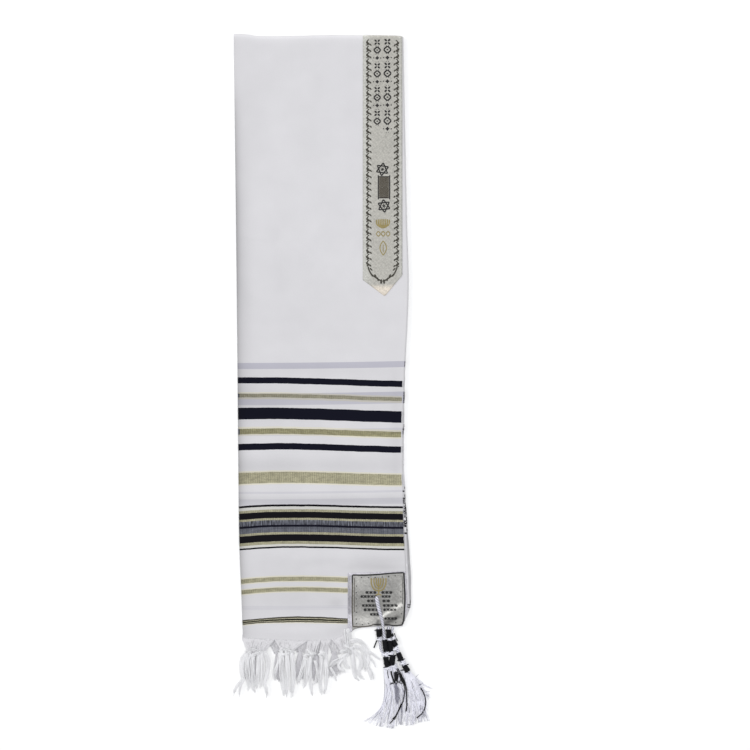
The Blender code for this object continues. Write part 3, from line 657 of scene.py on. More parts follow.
# Steps of the sheets' grids, and the angles at which a sheet's places go round a fold
TOP_COLUMNS, TOP_ROWS = 84, 301
LOWER_COLUMNS, LOWER_ROWS = 26, 181
BAND_COLUMNS, BAND_ROWS = 24, 130
PATCH_PARTS = 52
SIDE_ANGLES = np.radians((174, 150, 125, 100, 75, 52, 30, 12))
END_ANGLES = np.radians((172, 145, 118, 90, 64, 40, 18))
# Shares across at which a lower layer's free edge has its places, where it droops, and how much
EDGE_SHARES = np.linspace(0.972, 1.0, 9)
DROOP_FROM = 0.985
DROOP = 0.15
# A lower layer's edge sways from here on, and its stripes show through the top layer less from here on
SWAY_FROM, SWAY_REACH = 480.0, 60.0
FAINT_FROM, FAINT_REACH = 520.0, 90.0
# A distance in metres that is too far from an edge for the weave to show it
NO_EDGE = 0.05
# Where the band starts, before the end fold, and the share of its length in each of its first steps
BAND_START = -1.6
BAND_CURL_STEP = 0.0015
HOLE_RING = ((-1, -1), (-1, 0), (-1, 1), (0, 1), (1, 1), (1, 0), (1, -1), (0, -1))

# Embroidery: spacing along a stroke, height at its rim and middle, and width at its ends as a share
EMBROIDERY_STEP = 1.2
EMBROIDERY_RIM = 0.02
EMBROIDERY_CROWN = 0.22
POINTED = 0.35
# How much a trim's upper face drops at its rim, the sizes from which the distance to the rim is worked out,
# and how wide the rounding is
RIM_DROP = 0.3
BAND_SPAN, BAND_RUN, BAND_ROUNDING = 59.0, 300.0, 1.2
PATCH_SPAN, PATCH_ROUNDING = 80.0, 2.4

# Yarns: sides of a strand, and heights of the fringe and where the lower fringe ends
SIDES = 4
UNDER_TIPS = 974.0
UNDER_RIGHT = 26.0
TOP_LOCK_Z = 4.4
UNDER_LOCK_Z = 1.5
LANDED_Z = 1.5
# Threads gathered from the hem: spacing, where they start above the hem, and heights
TOP_SPACING, UNDER_SPACING = 0.7, 1.5
TOP_START = (4.5, 8.0)
UNDER_START = 1.4
UNDER_START_Z = 0.7
THREAD_DEPTH = 0.95
THREAD_RISE = 0.75
GATHER_RADIUS = 0.58
GATHER_STEPS = 9
# Fibres of a lock: share of its width that they fill, how far they sway and how much they thin out
LOCK_SPREAD = 0.92
LOCK_SWAY = 0.3
LOCK_TAPER = 0.62
UNDER_LOCK_COUNT = 5
# Share along a lower lock, and its width in pixels
UNDER_LOCK_WIDTHS = ((0, 2.4), (0.35, 4.4), (0.75, 3.8), (1, 1.4))
# Windings: radius of the string, its spacing and thickness as shares of that, places in a turn and core
WIRE = 0.62
COIL_PITCH = 0.98
COIL_SWELL = 1.05
COIL_STEPS = 10
CORE_SHARE = 0.82
# Knots: height, radius of the string, and how each turn leans and is shifted
KNOT_Z = 4.0
KNOT_STRING = 0.8
KNOT_TURNS = ((0.45, -1.6), (-0.5, 1.4), (0.12, 0.1), (-0.2, -0.4))
CORD_PLIES = 3
CORD_PITCH = 13.0
CORD_STEP = 1.3
# Fanned strings: how far they stray from their guides, and heights at the cord and in the heap
FAN_STEPS = 15
STRAY = 0.55
FAN_TOP_Z = 4.0
HEAP_Z = 0.9
BLACK_STRING_SHARE = 0.85
# Darker strands where the tassel has a shaded gap: painted shade
SHADED_STRANDS = ((395.4, 683, 1.6), (396.6, 690, 4.4), (397.2, 697, 4.6), (396.6, 705, 1.6))
SHADED_Z = 3.2
# the third kind is a grey string that stands for shade between strings: painted shade
WHITE_STRING, BLACK_STRING, SHADE_STRING = 0, 1, 2
# Each ply has a white string and a thin grey one in the groove after it, as painted shade in the groove:
# turn, reach and thickness as shares
CORD_STRINGS = ((0, 0.62, 0.55, WHITE_STRING), (0.5, 0.98, 0.24, SHADE_STRING))
UP = np.array((0.0, 0.0, 1.0))

# Camera, lights and floor, in metres
CAMERA_PLACE = (0.06725, 0.00855, 5.0)
FOCAL_LENGTH = 160.0
SENSOR_WIDTH = 36.0
LIGHTS = (
    # name, place, aim, size, power, tint
    ("overhead", (0.25, 0.15, 2.6), (0.05, 0, 0), 1.6, 36, (1, 1, 1)),
    ("low_fill", (-3.4, 1.4, 2.2), (0, 0, 0), 2.2, 52, (1, 0.99, 0.97)),
)
SKY_TINT = (0.97, 0.98, 1.0, 1.0)
SKY_STRENGTH = 0.56
FLOOR_HALF = 3.0
FLOOR_Z = -0.0002


def linear(colour):
    """An sRGB colour from 0 to 255 as linear values."""
    parts = [part / 255 for part in colour]
    return tuple(part / 12.92 if part <= 0.04045 else ((part + 0.055) / 1.055) ** 2.4 for part in parts)


# Numbers along curves, for arrays of places

def curve(knots, values, at):
    """A value at some places, on a smooth curve through its values at the knots."""
    knots, values = np.array(knots, dtype=float), np.array(values, dtype=float)
    at = np.clip(np.asarray(at, dtype=float), knots[0], knots[-1])
    index = np.clip(np.searchsorted(knots, at, side="right") - 1, 0, len(knots) - 2)
    steepness = np.diff(values) / np.diff(knots)
    inner = (values[2:] - values[:-2]) / (knots[2:] - knots[:-2])
    slopes = np.concatenate((steepness[:1], inner, steepness[-1:]))
    span = knots[index + 1] - knots[index]
    share = (at - knots[index]) / span
    rise = values[index + 1] - values[index]
    leaving, arriving = slopes[index] * span, slopes[index + 1] * span
    bend = 3 * rise - 2 * leaving - arriving + share * (leaving + arriving - 2 * rise)
    return values[index] + share * (leaving + share * bend)


def curve_through(rows, at):
    """The second column of a table, at places in its first column."""
    return curve(*zip(*rows), at)


def smooth_step(value):
    value = np.clip(value, 0.0, 1.0)
    return value * value * (3 - 2 * value)


def left_edge(down):
    return curve_through(LEFT_FOLD, down)


def right_edge(down, share=0.0):
    return curve_through(RIGHT_EDGE, down) + share * curve_through(PEEK, down)


def share_across(x, down):
    left, right = left_edge(down), right_edge(down)
    return np.clip((x - left) / (right - left), 0.0, 1.0)


def end_fold(across):
    return curve_through(END_FOLD, across)


def hem(across):
    return FOLDED_LENGTH + curve_through(HEM, across)


def along_line(x, down, line, half_width):
    """How near places are to a line, from 1 on it to 0, fading out at its ends."""
    x1, down1, x2, down2 = line
    length = math.hypot(x2 - x1, down2 - down1)
    along = ((x - x1) * (x2 - x1) + (down - down1) * (down2 - down1)) / length
    aside = ((x - x1) * (down2 - down1) - (down - down1) * (x2 - x1)) / length
    fading = np.maximum(0.0, half_width * 1.5 - np.minimum(along, length - along))
    beyond = np.maximum(0.0, np.maximum(-along, along - length)) + 0.35 * fading
    return np.exp(-(aside / half_width) ** 2 - (beyond / half_width) ** 2)


def add_spots(total, x, down, spots, share=1.0):
    """Add soft round spots to a value. Each is its middle, its two half sizes and its strength."""
    for spot_x, spot_down, half_width, half_length, strength in spots:
        aside, along = (x - spot_x) / half_width, (down - spot_down) / half_length
        total = total + strength * share * np.exp(-aside ** 2 - along ** 2)
    return total


def add_lines(total, x, down, lines, share=1.0):
    """Add soft lines to a value. Each is its two ends, its half width and its strength."""
    for *line, half_width, strength in lines:
        total = total + strength * share * along_line(x, down, line, half_width)
    return total


def stack_top(x, down):
    """Height of the top layer's upper face, away from the folds."""
    x, down = np.asarray(x, dtype=float), np.asarray(down, dtype=float)
    across = share_across(x, down)
    sunk = smooth_step((down - hem(across) + HEM_SAG_LENGTH) / (HEM_SAG_LENGTH - HEM_FLAT))
    # swells keep away from the edges and the end fold, and creases from the edges and the sagging hem
    inside = smooth_step(across / SWELL_MARGIN) * smooth_step((1.0 - across) / SWELL_MARGIN)
    height = add_spots(STACK - HEM_SAG * sunk, x, down, SWELLS, inside * smooth_step(down / SWELL_START))
    height = height - LEFT_SHOULDER * np.clip(1.0 - across / LEFT_SHOULDER_REACH, 0.0, 1.0) ** 2
    inside = smooth_step(across / 0.06) * smooth_step((1.0 - across) / 0.04 + 0.3)
    return add_lines(height, x, down, CREASES, inside * (1.0 - sunk))


def cloth_tone(x, down, from_left, from_end):
    """How light the top layer's cloth is, about 1: painted shade along the left fold and in soft spots, and
    painted highlights.
    """
    tone = 1.0 - curve_through(FOLD_SHADE, down) * np.exp(-np.maximum(from_left, 0.0) / FOLD_SHADE_REACH)
    tone = tone + END_HIGHLIGHT * np.exp(-np.maximum(from_end, 0.0) / END_HIGHLIGHT_REACH)
    return add_spots(tone, x, down, PAINTED_SHADING)


def woven(across, down):
    """Place in the weave, from the shawl's middle, of a place on the top layer."""
    # across * (1 - across) ** 2 is greatest a third of the way across, where it is 4 / 27
    sag = across * (1.0 - across) ** 2 * 27 / 4
    place = down - curve_through(BOW_LEAN, down) * across + curve_through(BOW_SAG, down) * sag
    opening = curve_through(HEM_BAND_OPENING, across)
    near = np.clip(1.0 - np.abs(place - HEM_BAND) / (2 * HEM_BAND_REACH), 0.0, 1.0)
    return place + (place - HEM_BAND) * (1.0 / opening - 1.0) * smooth_step(near * 1.6)


def world(x, down, z):
    """Places in metres."""
    x, down, z = np.broadcast_arrays(x, down, z)
    return np.stack(((TABLE_X + x) * MM, (FOLD_LINE_Y - down) * MM, z * MM), axis=-1)


def from_pixels(points):
    """Table places from a list of places in the photo's pixels."""
    points = np.array([point[:2] for point in points], dtype=float)
    return (points[:, 0] - PIXEL_X) * PIXEL, (points[:, 1] - PIXEL_DOWN) * PIXEL


def to_pixels(x, down):
    return x / PIXEL + PIXEL_X, down / PIXEL + PIXEL_DOWN


def along_path(points, steps=None):
    """Evenly spaced places on a curve through points in pixels.

    Also the way the curve runs at them, the distances along it of the points, and those of the places.
    """
    x, down = from_pixels(points)
    travelled = np.concatenate(([0.0], np.cumsum(np.hypot(np.diff(x), np.diff(down)))))
    at = np.linspace(0.0, travelled[-1], steps or max(3, int(travelled[-1] / EMBROIDERY_STEP) + 2))
    x, down = (curve(travelled, values, at) for values in (x, down))
    way = np.stack((np.gradient(x), np.gradient(down)), axis=-1)
    return x, down, way / np.maximum(np.linalg.norm(way, axis=1, keepdims=True), 1e-9), travelled, at


# Meshes

def mesh_object(name, places, faces, materials, uv_maps=(), face_materials=None):
    mesh = bpy.data.meshes.new(name)
    mesh.from_pydata(places.tolist(), [], faces)
    for uv_name, values in uv_maps:
        layer = mesh.uv_layers.new(name=uv_name)
        corners = np.empty(len(mesh.loops), dtype=np.int32)
        mesh.loops.foreach_get("vertex_index", corners)
        layer.data.foreach_set("uv", np.asarray(values, dtype=np.float32)[corners].ravel())
    for finish in materials:
        mesh.materials.append(finish)
    if face_materials is not None:
        mesh.polygons.foreach_set("material_index", np.asarray(face_materials, dtype=np.int32))
    mesh.shade_smooth()
    return add_object(name, mesh)


def add_object(name, data):
    made = bpy.data.objects.new(name, data)
    bpy.context.scene.collection.objects.link(made)
    return made


def pair(first, second):
    """Two values at each place, for a UV map."""
    return np.stack(np.broadcast_arrays(first, second), axis=-1)


def grid_faces(rows, columns, first=0, flip=False):
    row, column = np.meshgrid(np.arange(rows - 1), np.arange(columns - 1), indexing="ij")
    corner = (first + row * columns + column).ravel()
    faces = np.stack((corner, corner + columns, corner + columns + 1, corner + 1), axis=-1)
    return (faces[:, ::-1] if flip else faces).tolist()


def steps_round(loop):
    """Each index of a closed loop, with the next one."""
    return list(zip(loop, loop[1:] + loop[:1]))


def cut_hole(upper, lower):
    """Move eight places of two grids on to the tassel's hole. Gives the middle's index and the eight."""
    centre = world(*HOLE_PLACE, 0.0)[:2]
    distance = np.linalg.norm(upper[:, :, :2] - centre, axis=-1)
    row, column = np.unravel_index(np.argmin(distance), distance.shape)
    columns = upper.shape[1]
    rim = []
    for step_row, step_column in HOLE_RING:
        at = row + step_row, column + step_column
        outwards = upper[at][:2] - upper[row, column][:2]
        for grid in (upper, lower):
            grid[at][:2] = centre + outwards / np.linalg.norm(outwards) * HOLE_RADIUS * MM
        rim.append(at[0] * columns + at[1])
    return row * columns + column, rim


def cloth_piece(name, upper, lower, uv_maps, finish, holed=False):
    """A thin closed sheet between two grids of places, with the tassel's hole in it if it is holed."""
    rows, columns = upper.shape[:2]
    count = rows * columns
    faces = grid_faces(rows, columns) + grid_faces(rows, columns, count, flip=True)
    grid = np.arange(count).reshape(rows, columns)
    edges = steps_round([*grid[0], *grid[1:, -1], *grid[-1, -2::-1], *grid[-2:0:-1, 0]])
    if holed:
        middle, rim = cut_hole(upper, lower)
        faces = [face for face in faces if middle not in face and middle + count not in face]
        edges = [(after, here) for here, after in steps_round(rim)] + edges
    faces += [(here, after, after + count, here + count) for here, after in edges]
    places = np.concatenate((upper.reshape(-1, 3), lower.reshape(-1, 3)))
    both = [(uv_name, np.concatenate((values.reshape(-1, 2),) * 2)) for uv_name, values in uv_maps]
    made = mesh_object(name, places, faces, [finish], both)
    if holed:
        drop_loose(made)
    return made


def drop_loose(made):
    """Take out places that no face uses."""
    shape = bmesh.new()
    shape.from_mesh(made.data)
    for place in [vertex for vertex in shape.verts if not vertex.link_faces]:
        shape.verts.remove(place)
    shape.to_mesh(made.data)
    shape.free()


# Materials

def add_node(tree, kind, inputs=(), **settings):
    made = tree.nodes.new("ShaderNode" + kind)
    for name, value in settings.items():
        setattr(made, name, value)
    for key, value in dict(inputs).items():
        if isinstance(value, bpy.types.NodeSocket):
            tree.links.new(value, made.inputs[key])
        else:
            made.inputs[key].default_value = value
    return made


def tree_of(values):
    """The node tree of the first socket among some values."""
    return next(value.id_data for value in values if isinstance(value, bpy.types.NodeSocket))


def maths(operation, *values, clamp=False):
    made = add_node(tree_of(values), "Math", dict(enumerate(values)), operation=operation, use_clamp=clamp)
    return made.outputs[0]


def scaled(value, factor, offset, clamp=False):
    return maths("MULTIPLY_ADD", value, factor, offset, clamp=clamp)


def plus(first, second):
    return maths("ADD", first, second)


def minus(first, second, clamp=False):
    return maths("SUBTRACT", first, second, clamp=clamp)


def times(first, second):
    return maths("MULTIPLY", first, second)


def less(value, limit):
    return maths("LESS_THAN", value, limit)


def more(value, limit):
    return maths("GREATER_THAN", value, limit)


def share_of(value, start, end, first=0.0, last=1.0):
    """How far a value is from start to end, as a number from first to last."""
    inputs = {"Value": value, 1: start, 2: end, 3: first, 4: last}
    return add_node(value.id_data, "MapRange", inputs).outputs[0]


def mix(factor, first, second, blend="MIX"):
    inputs = {0: factor, 6: first, 7: second}
    return add_node(tree_of(inputs.values()), "Mix", inputs, data_type="RGBA", blend_type=blend).outputs[2]


def colour_of(value):
    return (*linear(value), 1.0)


def joined(first, second, third):
    return add_node(first.id_data, "CombineXYZ", {0: first, 1: second, 2: third}).outputs[0]


def darkened(colour, shade):
    return mix(1.0, colour, joined(shade, shade, shade), "MULTIPLY")


def brightness(colour):
    return add_node(colour.id_data, "RGBToBW", {0: colour}).outputs[0]


def uv_map(tree, name):
    """A UV map and its two values."""
    whole = add_node(tree, "UVMap", uv_map=name).outputs[0]
    parts = add_node(tree, "SeparateXYZ", {0: whole}).outputs
    return whole, parts[0], parts[1]


def noise(places, scale, detail=2.0, roughness=0.5):
    """Noise over places. Its scale is one number, or one for each direction."""
    if isinstance(scale, tuple):
        places = add_node(places.id_data, "Mapping", {"Vector": places, "Scale": scale}).outputs[0]
        scale = 1.0
    inputs = {"Vector": places, "Scale": scale, "Detail": detail, "Roughness": roughness}
    return add_node(places.id_data, "TexNoise", inputs).outputs["Fac"]


def waves(at, period):
    """A wave from 0 to 1 along a coordinate in metres, with that period in millimetres."""
    return scaled(maths("SINE", scaled(at, 2 * math.pi / (period * MM), 0.0)), 0.5, 0.5)


def new_material(name, roughness, sheen=0.0, metallic=0.0, specular=0.5):
    made = bpy.data.materials.new(name)
    made.use_nodes = True
    shader = made.node_tree.nodes["Principled BSDF"]
    shader.inputs["Roughness"].default_value = roughness
    shader.inputs["Metallic"].default_value = metallic
    shader.inputs["Specular IOR Level"].default_value = specular
    shader.inputs["Sheen Weight"].default_value = sheen
    shader.inputs["Sheen Roughness"].default_value = 0.5
    return made, made.node_tree, shader


def finish_with(shader, colour, shade, relief, strength, depth):
    """Give a shader its colour under a grey shade, and its fine relief."""
    tree = relief.id_data
    tree.links.new(darkened(colour, shade), shader.inputs["Base Color"])
    bump = add_node(tree, "Bump", {"Strength": strength, "Distance": depth * MM, "Height": relief})
    tree.links.new(bump.outputs[0], shader.inputs["Normal"])


def stripe_group():
    """Colour and kind of weave for a place along the cloth, in metres from its middle."""
    group = bpy.data.node_groups.new("woven stripes", "ShaderNodeTree")
    group.interface.new_socket("Place", in_out="INPUT", socket_type="NodeSocketFloat")
    group.interface.new_socket("Colour", in_out="OUTPUT", socket_type="NodeSocketColor")
    group.interface.new_socket("Kind", in_out="OUTPUT", socket_type="NodeSocketFloat")
    place = group.nodes.new("NodeGroupInput").outputs["Place"]
    leaving = group.nodes.new("NodeGroupOutput")
    plain = (*linear(CLOTH_WHITE), 0.0)
    colour, kind = None, None
    for first, last in STRIPE_RANGES:
        ramp = add_node(group, "ValToRGB", {"Fac": share_of(place, first * MM, last * MM)})
        ramp.color_ramp.interpolation = "CONSTANT"
        stops = ramp.color_ramp.elements
        stops[0].position = 0.0
        stops[0].color = plain
        stops.remove(stops[1])
        within = [stripe for stripe in STRIPES if first < stripe[0] < last]
        for number, (start, end, tint, weave) in enumerate(within):
            stop = stops.new((start - first) / (last - first))
            stop.color = (*linear(tint), weave)
            if number + 1 == len(within) or within[number + 1][0] > end:
                stop = stops.new((end - first) / (last - first))
                stop.color = plain
        if colour is None:
            colour, kind = ramp.outputs["Color"], ramp.outputs["Alpha"]
        else:
            past = more(place, first * MM)
            colour = mix(past, colour, ramp.outputs["Color"])
            kind = add_node(group, "Mix", {0: past, 2: kind, 3: ramp.outputs["Alpha"]}).outputs[0]
    group.links.new(colour, leaving.inputs["Colour"])
    group.links.new(kind, leaving.inputs["Kind"])
    return group


def woven_cloth():
    """White cloth with woven stripes, gold thread, a pale selvedge and a hint of the layer below."""
    made, tree, shader = new_material("woven_cloth", CLOTH_ROUGHNESS, sheen=0.05, specular=0.12)
    stripes = stripe_group()
    weave, across, along = uv_map(tree, "weave")
    _, from_left, from_right = uv_map(tree, "edges")
    _, see_through, below = uv_map(tree, "below")
    # the tone map carries painted shade and painted highlights
    tone = uv_map(tree, "tone")[1]

    # threads push a stripe's edge a little to and fro
    threads = noise(weave, (420, 150, 1), 1)
    slow = noise(weave, (45, 12, 1), 1)
    push = plus(scaled(threads, 0.0007, -0.00035), scaled(slow, 0.0012, -0.0006))
    colour, kind = add_node(tree, "Group", {"Place": plus(along, push)}, node_tree=stripes).outputs
    fancy = more(kind, FANCY_WEAVE)
    golden = more(kind, GOLD_WEAVE)

    # metal thread glints in short lengths, and a hatched weave has fine ribs
    lengths = noise(weave, (110, 260, 1))
    ribs = waves(scaled(lengths, 0.0012, across), 3.3)
    shade = times(scaled(noise(weave, (520, 1100, 1), 2, 0.6), 1.1, 0.37), scaled(lengths, 0.9, 0.56))
    shade = times(shade, scaled(ribs, 0.24, 0.88))
    streaks = scaled(noise(weave, (520, 45, 1), 2, 0.6), 2.4, -0.25)
    hatched = times(less(kind, GOLD_WEAVE), scaled(kind, 9.5, -3.3))
    hatch = scaled(minus(streaks, 1.0), hatched, 1.0)
    shade = times(shade, maths("MAXIMUM", hatch, 0.25))
    colour = mix(fancy, colour, darkened(colour, shade))

    # the lower layers' dark stripes show as rows of ticks, and their gold stops short of the edge
    plain = colour_of(CLOTH_WHITE)
    lower = less(see_through, LOWER_MARK)
    dark = scaled(brightness(colour), -5.0, 1.3, clamp=True)
    rows = scaled(plus(waves(along, BEAD_SPACING), scaled(threads, 1.2, -0.6)), 3.0, 0.25, clamp=True)
    colour = mix(lower, colour, mix(times(dark, rows), plain, colour_of(BLACK)))

    # the weft turns back in a pale selvedge, where it shows as ticks. The next layer's shows past it.
    hidden = add_node(tree, "Group", {"Place": below}, node_tree=stripes).outputs["Colour"]
    width = minus(scaled(threads, 0.0014, SELVEDGE), share_of(along, *SELVEDGE_NARROWS, 0.0, SELVEDGE_LOSS))
    selvedge = minus(less(from_right, width), lower, clamp=True)
    light = maths("DIVIDE", brightness(hidden), linear(CLOTH_WHITE)[1])
    light = maths("MULTIPLY", light, 3.6, clamp=True)
    beads = times(less(from_right, scaled(threads, 0.0012, 0.0007)), more(see_through, LOWER_MARK))
    beads = times(beads, minus(1.0, light))
    ticked = mix(times(waves(along, TICK_SPACING), 0.42), plain, brightness(colour))
    beaded = mix(scaled(waves(along, BEAD_SPACING), 0.55, 0.45), plain, hidden)
    colour = mix(selvedge, colour, mix(beads, ticked, beaded))

    # gold thread looks blue-grey where it turns round the fold
    turning = times(times(less(from_left, TURN_WIDTH), golden), less(along, TURN_END))
    colour = mix(turning, colour, colour_of(TURNED_GOLD))

    # dark stripes of the next layer show through faintly
    through = scaled(light, 1.0 - CLOTH_SHADE, CLOTH_SHADE, clamp=True)
    tint = joined(through, through, maths("POWER", through, 0.72))
    colour = mix(see_through, colour, mix(1.0, colour, tint, "MULTIPLY"))

    # gold thread is smoother than wool
    tree.links.new(scaled(golden, -0.38, CLOTH_ROUGHNESS), shader.inputs["Roughness"])
    tree.links.new(times(golden, 0.25), shader.inputs["Metallic"])

    # thread by thread and patch by patch the white varies a little, and the tone map darkens and lightens it
    # with painted shade and painted highlights
    fine = noise(weave, (700, 900, 1), 1)
    uneven = plus(scaled(fine, 0.10, 0.91), scaled(noise(weave, 22.0), 0.10, -0.05))
    relief = plus(times(waves(across, WARP_SPACING), waves(along, WEFT_SPACING)), times(fine, 0.6))
    relief = plus(relief, times(times(ribs, fancy), 0.8))
    finish_with(shader, colour, times(uneven, tone), relief, 0.35, 0.25)
    return made


def floor_material():
    made, tree, shader = new_material("pale_floor", roughness=0.95, specular=0.1)
    level = scaled(noise(add_node(tree, "TexCoord").outputs["Object"], 30.0), 0.01, 0.955)
    tree.links.new(joined(level, level, level), shader.inputs["Base Color"])
    return made


def brocade(name, tint, mottle, margin=None):
    """Silver brocade with a fine slanting figure. margin is the tint outside the patch's border."""
    made, tree, shader = new_material(name, roughness=0.5, sheen=0.08, specular=0.4)
    face, x, down = uv_map(tree, "face")
    wander = noise(face, (120, 120, 1))
    slant = plus(plus(x, down), times(wander, 0.006))
    counter = plus(minus(x, down), times(wander, -0.005))
    figure = times(waves(slant, 4.2), waves(counter, 6.4))
    speckle = noise(face, (430, 430, 1), 2, 0.6)
    shade = plus(scaled(figure, 0.16, 0.9), scaled(speckle, 0.5, -0.25))
    shade = plus(shade, scaled(noise(face, (260, 260, 1), 3, 0.6), mottle, -0.5 * mottle))
    shade = plus(shade, scaled(noise(face, 34.0), 0.3, -0.15))
    if margin is None:
        # the point is backed with peach cloth, and the brocade fades out over it
        tip = share_of(minus(down, scaled(wander, 0.004, BAND_TIP)), -BAND_TIP_FADE, BAND_TIP_FADE)
        side = maths("ABSOLUTE", minus(x, BAND_MIDDLE))
        edge = share_of(side, *BAND_FADE, 1.0, 0.25)
        colour = mix(times(tip, edge), colour_of(tint), colour_of(BAND_BACKING))
        colour = mix(times(share_of(side, *BAND_SIDE_FADE), 0.5), colour, colour_of(BAND_SIDE))
    else:
        left, top, right = PATCH_MARGINS
        pale = less(x, scaled(down, -0.004, left))
        pale = maths("MAXIMUM", pale, less(scaled(x, 0.036, down), top))
        pale = maths("MAXIMUM", pale, more(x, right))
        colour = mix(pale, colour_of(tint), colour_of(margin))
    # the tone map lays painted shade and painted highlights on the brocade
    colour = darkened(colour, uv_map(tree, "tone")[1])
    finish_with(shader, colour, shade, plus(figure, times(speckle, 0.8)), 0.4, 0.2)
    return made


def thread_material(name, tint, roughness, metallic=0.0):
    """Stitched thread, with ribs across each stroke."""
    made, tree, shader = new_material(name, roughness=roughness, metallic=metallic)
    ribs = waves(uv_map(tree, "stitch")[1], 0.8)
    patchy = noise(add_node(tree, "TexCoord").outputs["Object"], 520.0)
    shade = plus(scaled(ribs, 0.35, 0.65), scaled(patchy, 0.8, -0.3))
    finish_with(shader, colour_of(tint), shade, ribs, 0.4, 0.15)
    return made


def yarn_material(name, tint, roughness, sheen, vary):
    """Spun yarn: fine fibres along it and slow changes of tone."""
    made, tree, shader = new_material(name, roughness=roughness, sheen=sheen, specular=0.3)
    place = add_node(tree, "TexCoord").outputs["Object"]
    fibres = noise(place, (900, 260, 900))
    shade = plus(scaled(fibres, vary, 1.0 - vary / 2), scaled(noise(place, 90.0), vary, -vary / 2))
    finish_with(shader, colour_of(tint), shade, fibres, 0.5, 0.2)
    return made


# Sheets

def shares(parts):
    return np.linspace(0.0, 1.0, parts + 1)


def curled(angles, parts):
    """A fold's angles followed by a flat stretch: the angle and the share of the stretch at each step."""
    flat = shares(parts)
    return np.append(angles, np.zeros_like(flat)), np.append(np.zeros_like(angles), flat)


def top_sheet(finish):
    """The top layer curls round the side fold to the table, and round the end fold to the second layer."""
    side_angle, across = curled(SIDE_ANGLES, TOP_COLUMNS)
    end_angle, along = (values[:, None] for values in curled(END_ANGLES, TOP_ROWS))

    def face(offset):
        radius = END_FOLD_RADIUS + offset
        start_down = end_fold(across) + END_FOLD_RADIUS - radius * np.sin(end_angle)
        down = start_down + along * (hem(across) - start_down)
        left = left_edge(down)
        fold_radius = stack_top(left, down) / 2
        side_radius = fold_radius + offset
        start = left + fold_radius - side_radius * np.sin(side_angle)
        x = start + across * (right_edge(down) - start)
        drop = np.maximum(side_radius * (1 - np.cos(side_angle)), radius * (1 - np.cos(end_angle)))
        return x, down, stack_top(x, down) + offset - drop, fold_radius

    x, down, z, fold_radius = face(0.0)
    round_side = fold_radius * side_angle
    from_fold = x - left_edge(down)
    from_left = from_fold - np.where(side_angle > 0.9, round_side, 0.0)
    weave = woven(across, down) - END_FOLD_RADIUS * end_angle
    # the next layer's stripes show through less towards the hem
    faint = 1.0 - 0.6 * smooth_step((down - FAINT_FROM) / FAINT_REACH)
    shift, slope = LOWER_LAYERS["second"][4:6]
    # painted shade and painted highlights on the top layer, carried in the tone map
    tone = cloth_tone(x, down, from_fold, down - end_fold(across))
    uv_maps = (
        ("weave", pair((from_fold - round_side) * MM, weave * MM)),
        ("edges", pair(from_left * MM, (right_edge(down) - x) * MM)),
        ("below", pair(faint, (down + shift + slope * across ** 2) * MM)),
        ("tone", pair(tone, tone)),
    )
    return cloth_piece("top_cloth", world(x, down, z), world(*face(-CLOTH)[:3]), uv_maps, finish, holed=True)


def lower_sheet(name, layer, finish):
    """A lower layer: flat, a little proud of the layers above it along the free edges."""
    peek, left_inset, end_inset, hem_inset, shift, slope, wobble = LOWER_LAYERS[layer]
    across = np.concatenate((shares(LOWER_COLUMNS)[:-1], EDGE_SHARES))
    start_down = end_fold(across) + end_inset
    down = start_down + shares(LOWER_ROWS)[:, None] * (hem(across) - hem_inset - start_down)
    phase = sum(map(ord, layer))
    sway = wobble * (np.sin(down / 17.0 + phase) + 0.6 * np.sin(down / 7.3 + 2 * phase))
    sway = sway * smooth_step((down - SWAY_FROM) / SWAY_REACH)
    right = right_edge(down, peek) + np.where(curve_through(PEEK, down) > 0, sway, 0.0)
    start = left_edge(down) + left_inset
    x = start + across * (right - start)
    z = np.maximum(LAYER_TOPS[layer] * stack_top(x, down), CLOTH)
    if layer != "lowest":
        # the layer droops a little at its free edge
        z = np.where(across > DROOP_FROM, z - DROOP, z)
    past_top = x - right_edge(down)
    # painted shade on the lower layer, and painted light and shade along its peeking edge
    tone = np.where(past_top > -1.0, np.interp(past_top, *zip(*PEEK_SHADING)), LOWER_SHADE)
    uv_maps = (
        ("weave", pair((x - start) * MM, (down + shift + slope * across ** 2) * MM)),
        ("edges", pair(np.full_like(x, NO_EDGE), NO_EDGE)),
        ("below", pair(0.0, down * MM)),
        ("tone", pair(tone, tone)),
    )
    return cloth_piece(name, world(x, down, z), world(x, down, z - CLOTH), uv_maps, finish)


# Trims

def lifted(x, down, lift):
    """World places at a lift over the top layer. Past the end fold, lengths run round its curl."""
    x, down = np.broadcast_arrays(np.asarray(x, dtype=float), np.asarray(down, dtype=float))
    start = end_fold(share_across(x, down)) + END_FOLD_RADIUS
    radius = END_FOLD_RADIUS + lift
    angle = np.clip((start - down) / radius, 0.0, math.radians(100))
    over = np.where(angle > 0, start - radius * np.sin(angle), down)
    return world(x, over, stack_top(x, over) + lift - radius * (1 - np.cos(angle)))


def band_face(x, down, lift):
    return lifted(x, down, BAND_LIFT + TRIM_CLOTH + lift)


def patch_rise(x, down):
    return add_lines(0.0, x, down, PATCH_CREASES)


def patch_face(x, down, lift):
    return band_face(x, down, lift + patch_rise(x, down))


def trim_piece(name, x, down, upper, lower, tone, finish, holed=False):
    uv_maps = (("face", pair(x * MM, down * MM)), ("tone", pair(tone, tone)))
    return cloth_piece(name, upper, lower, uv_maps, finish, holed)


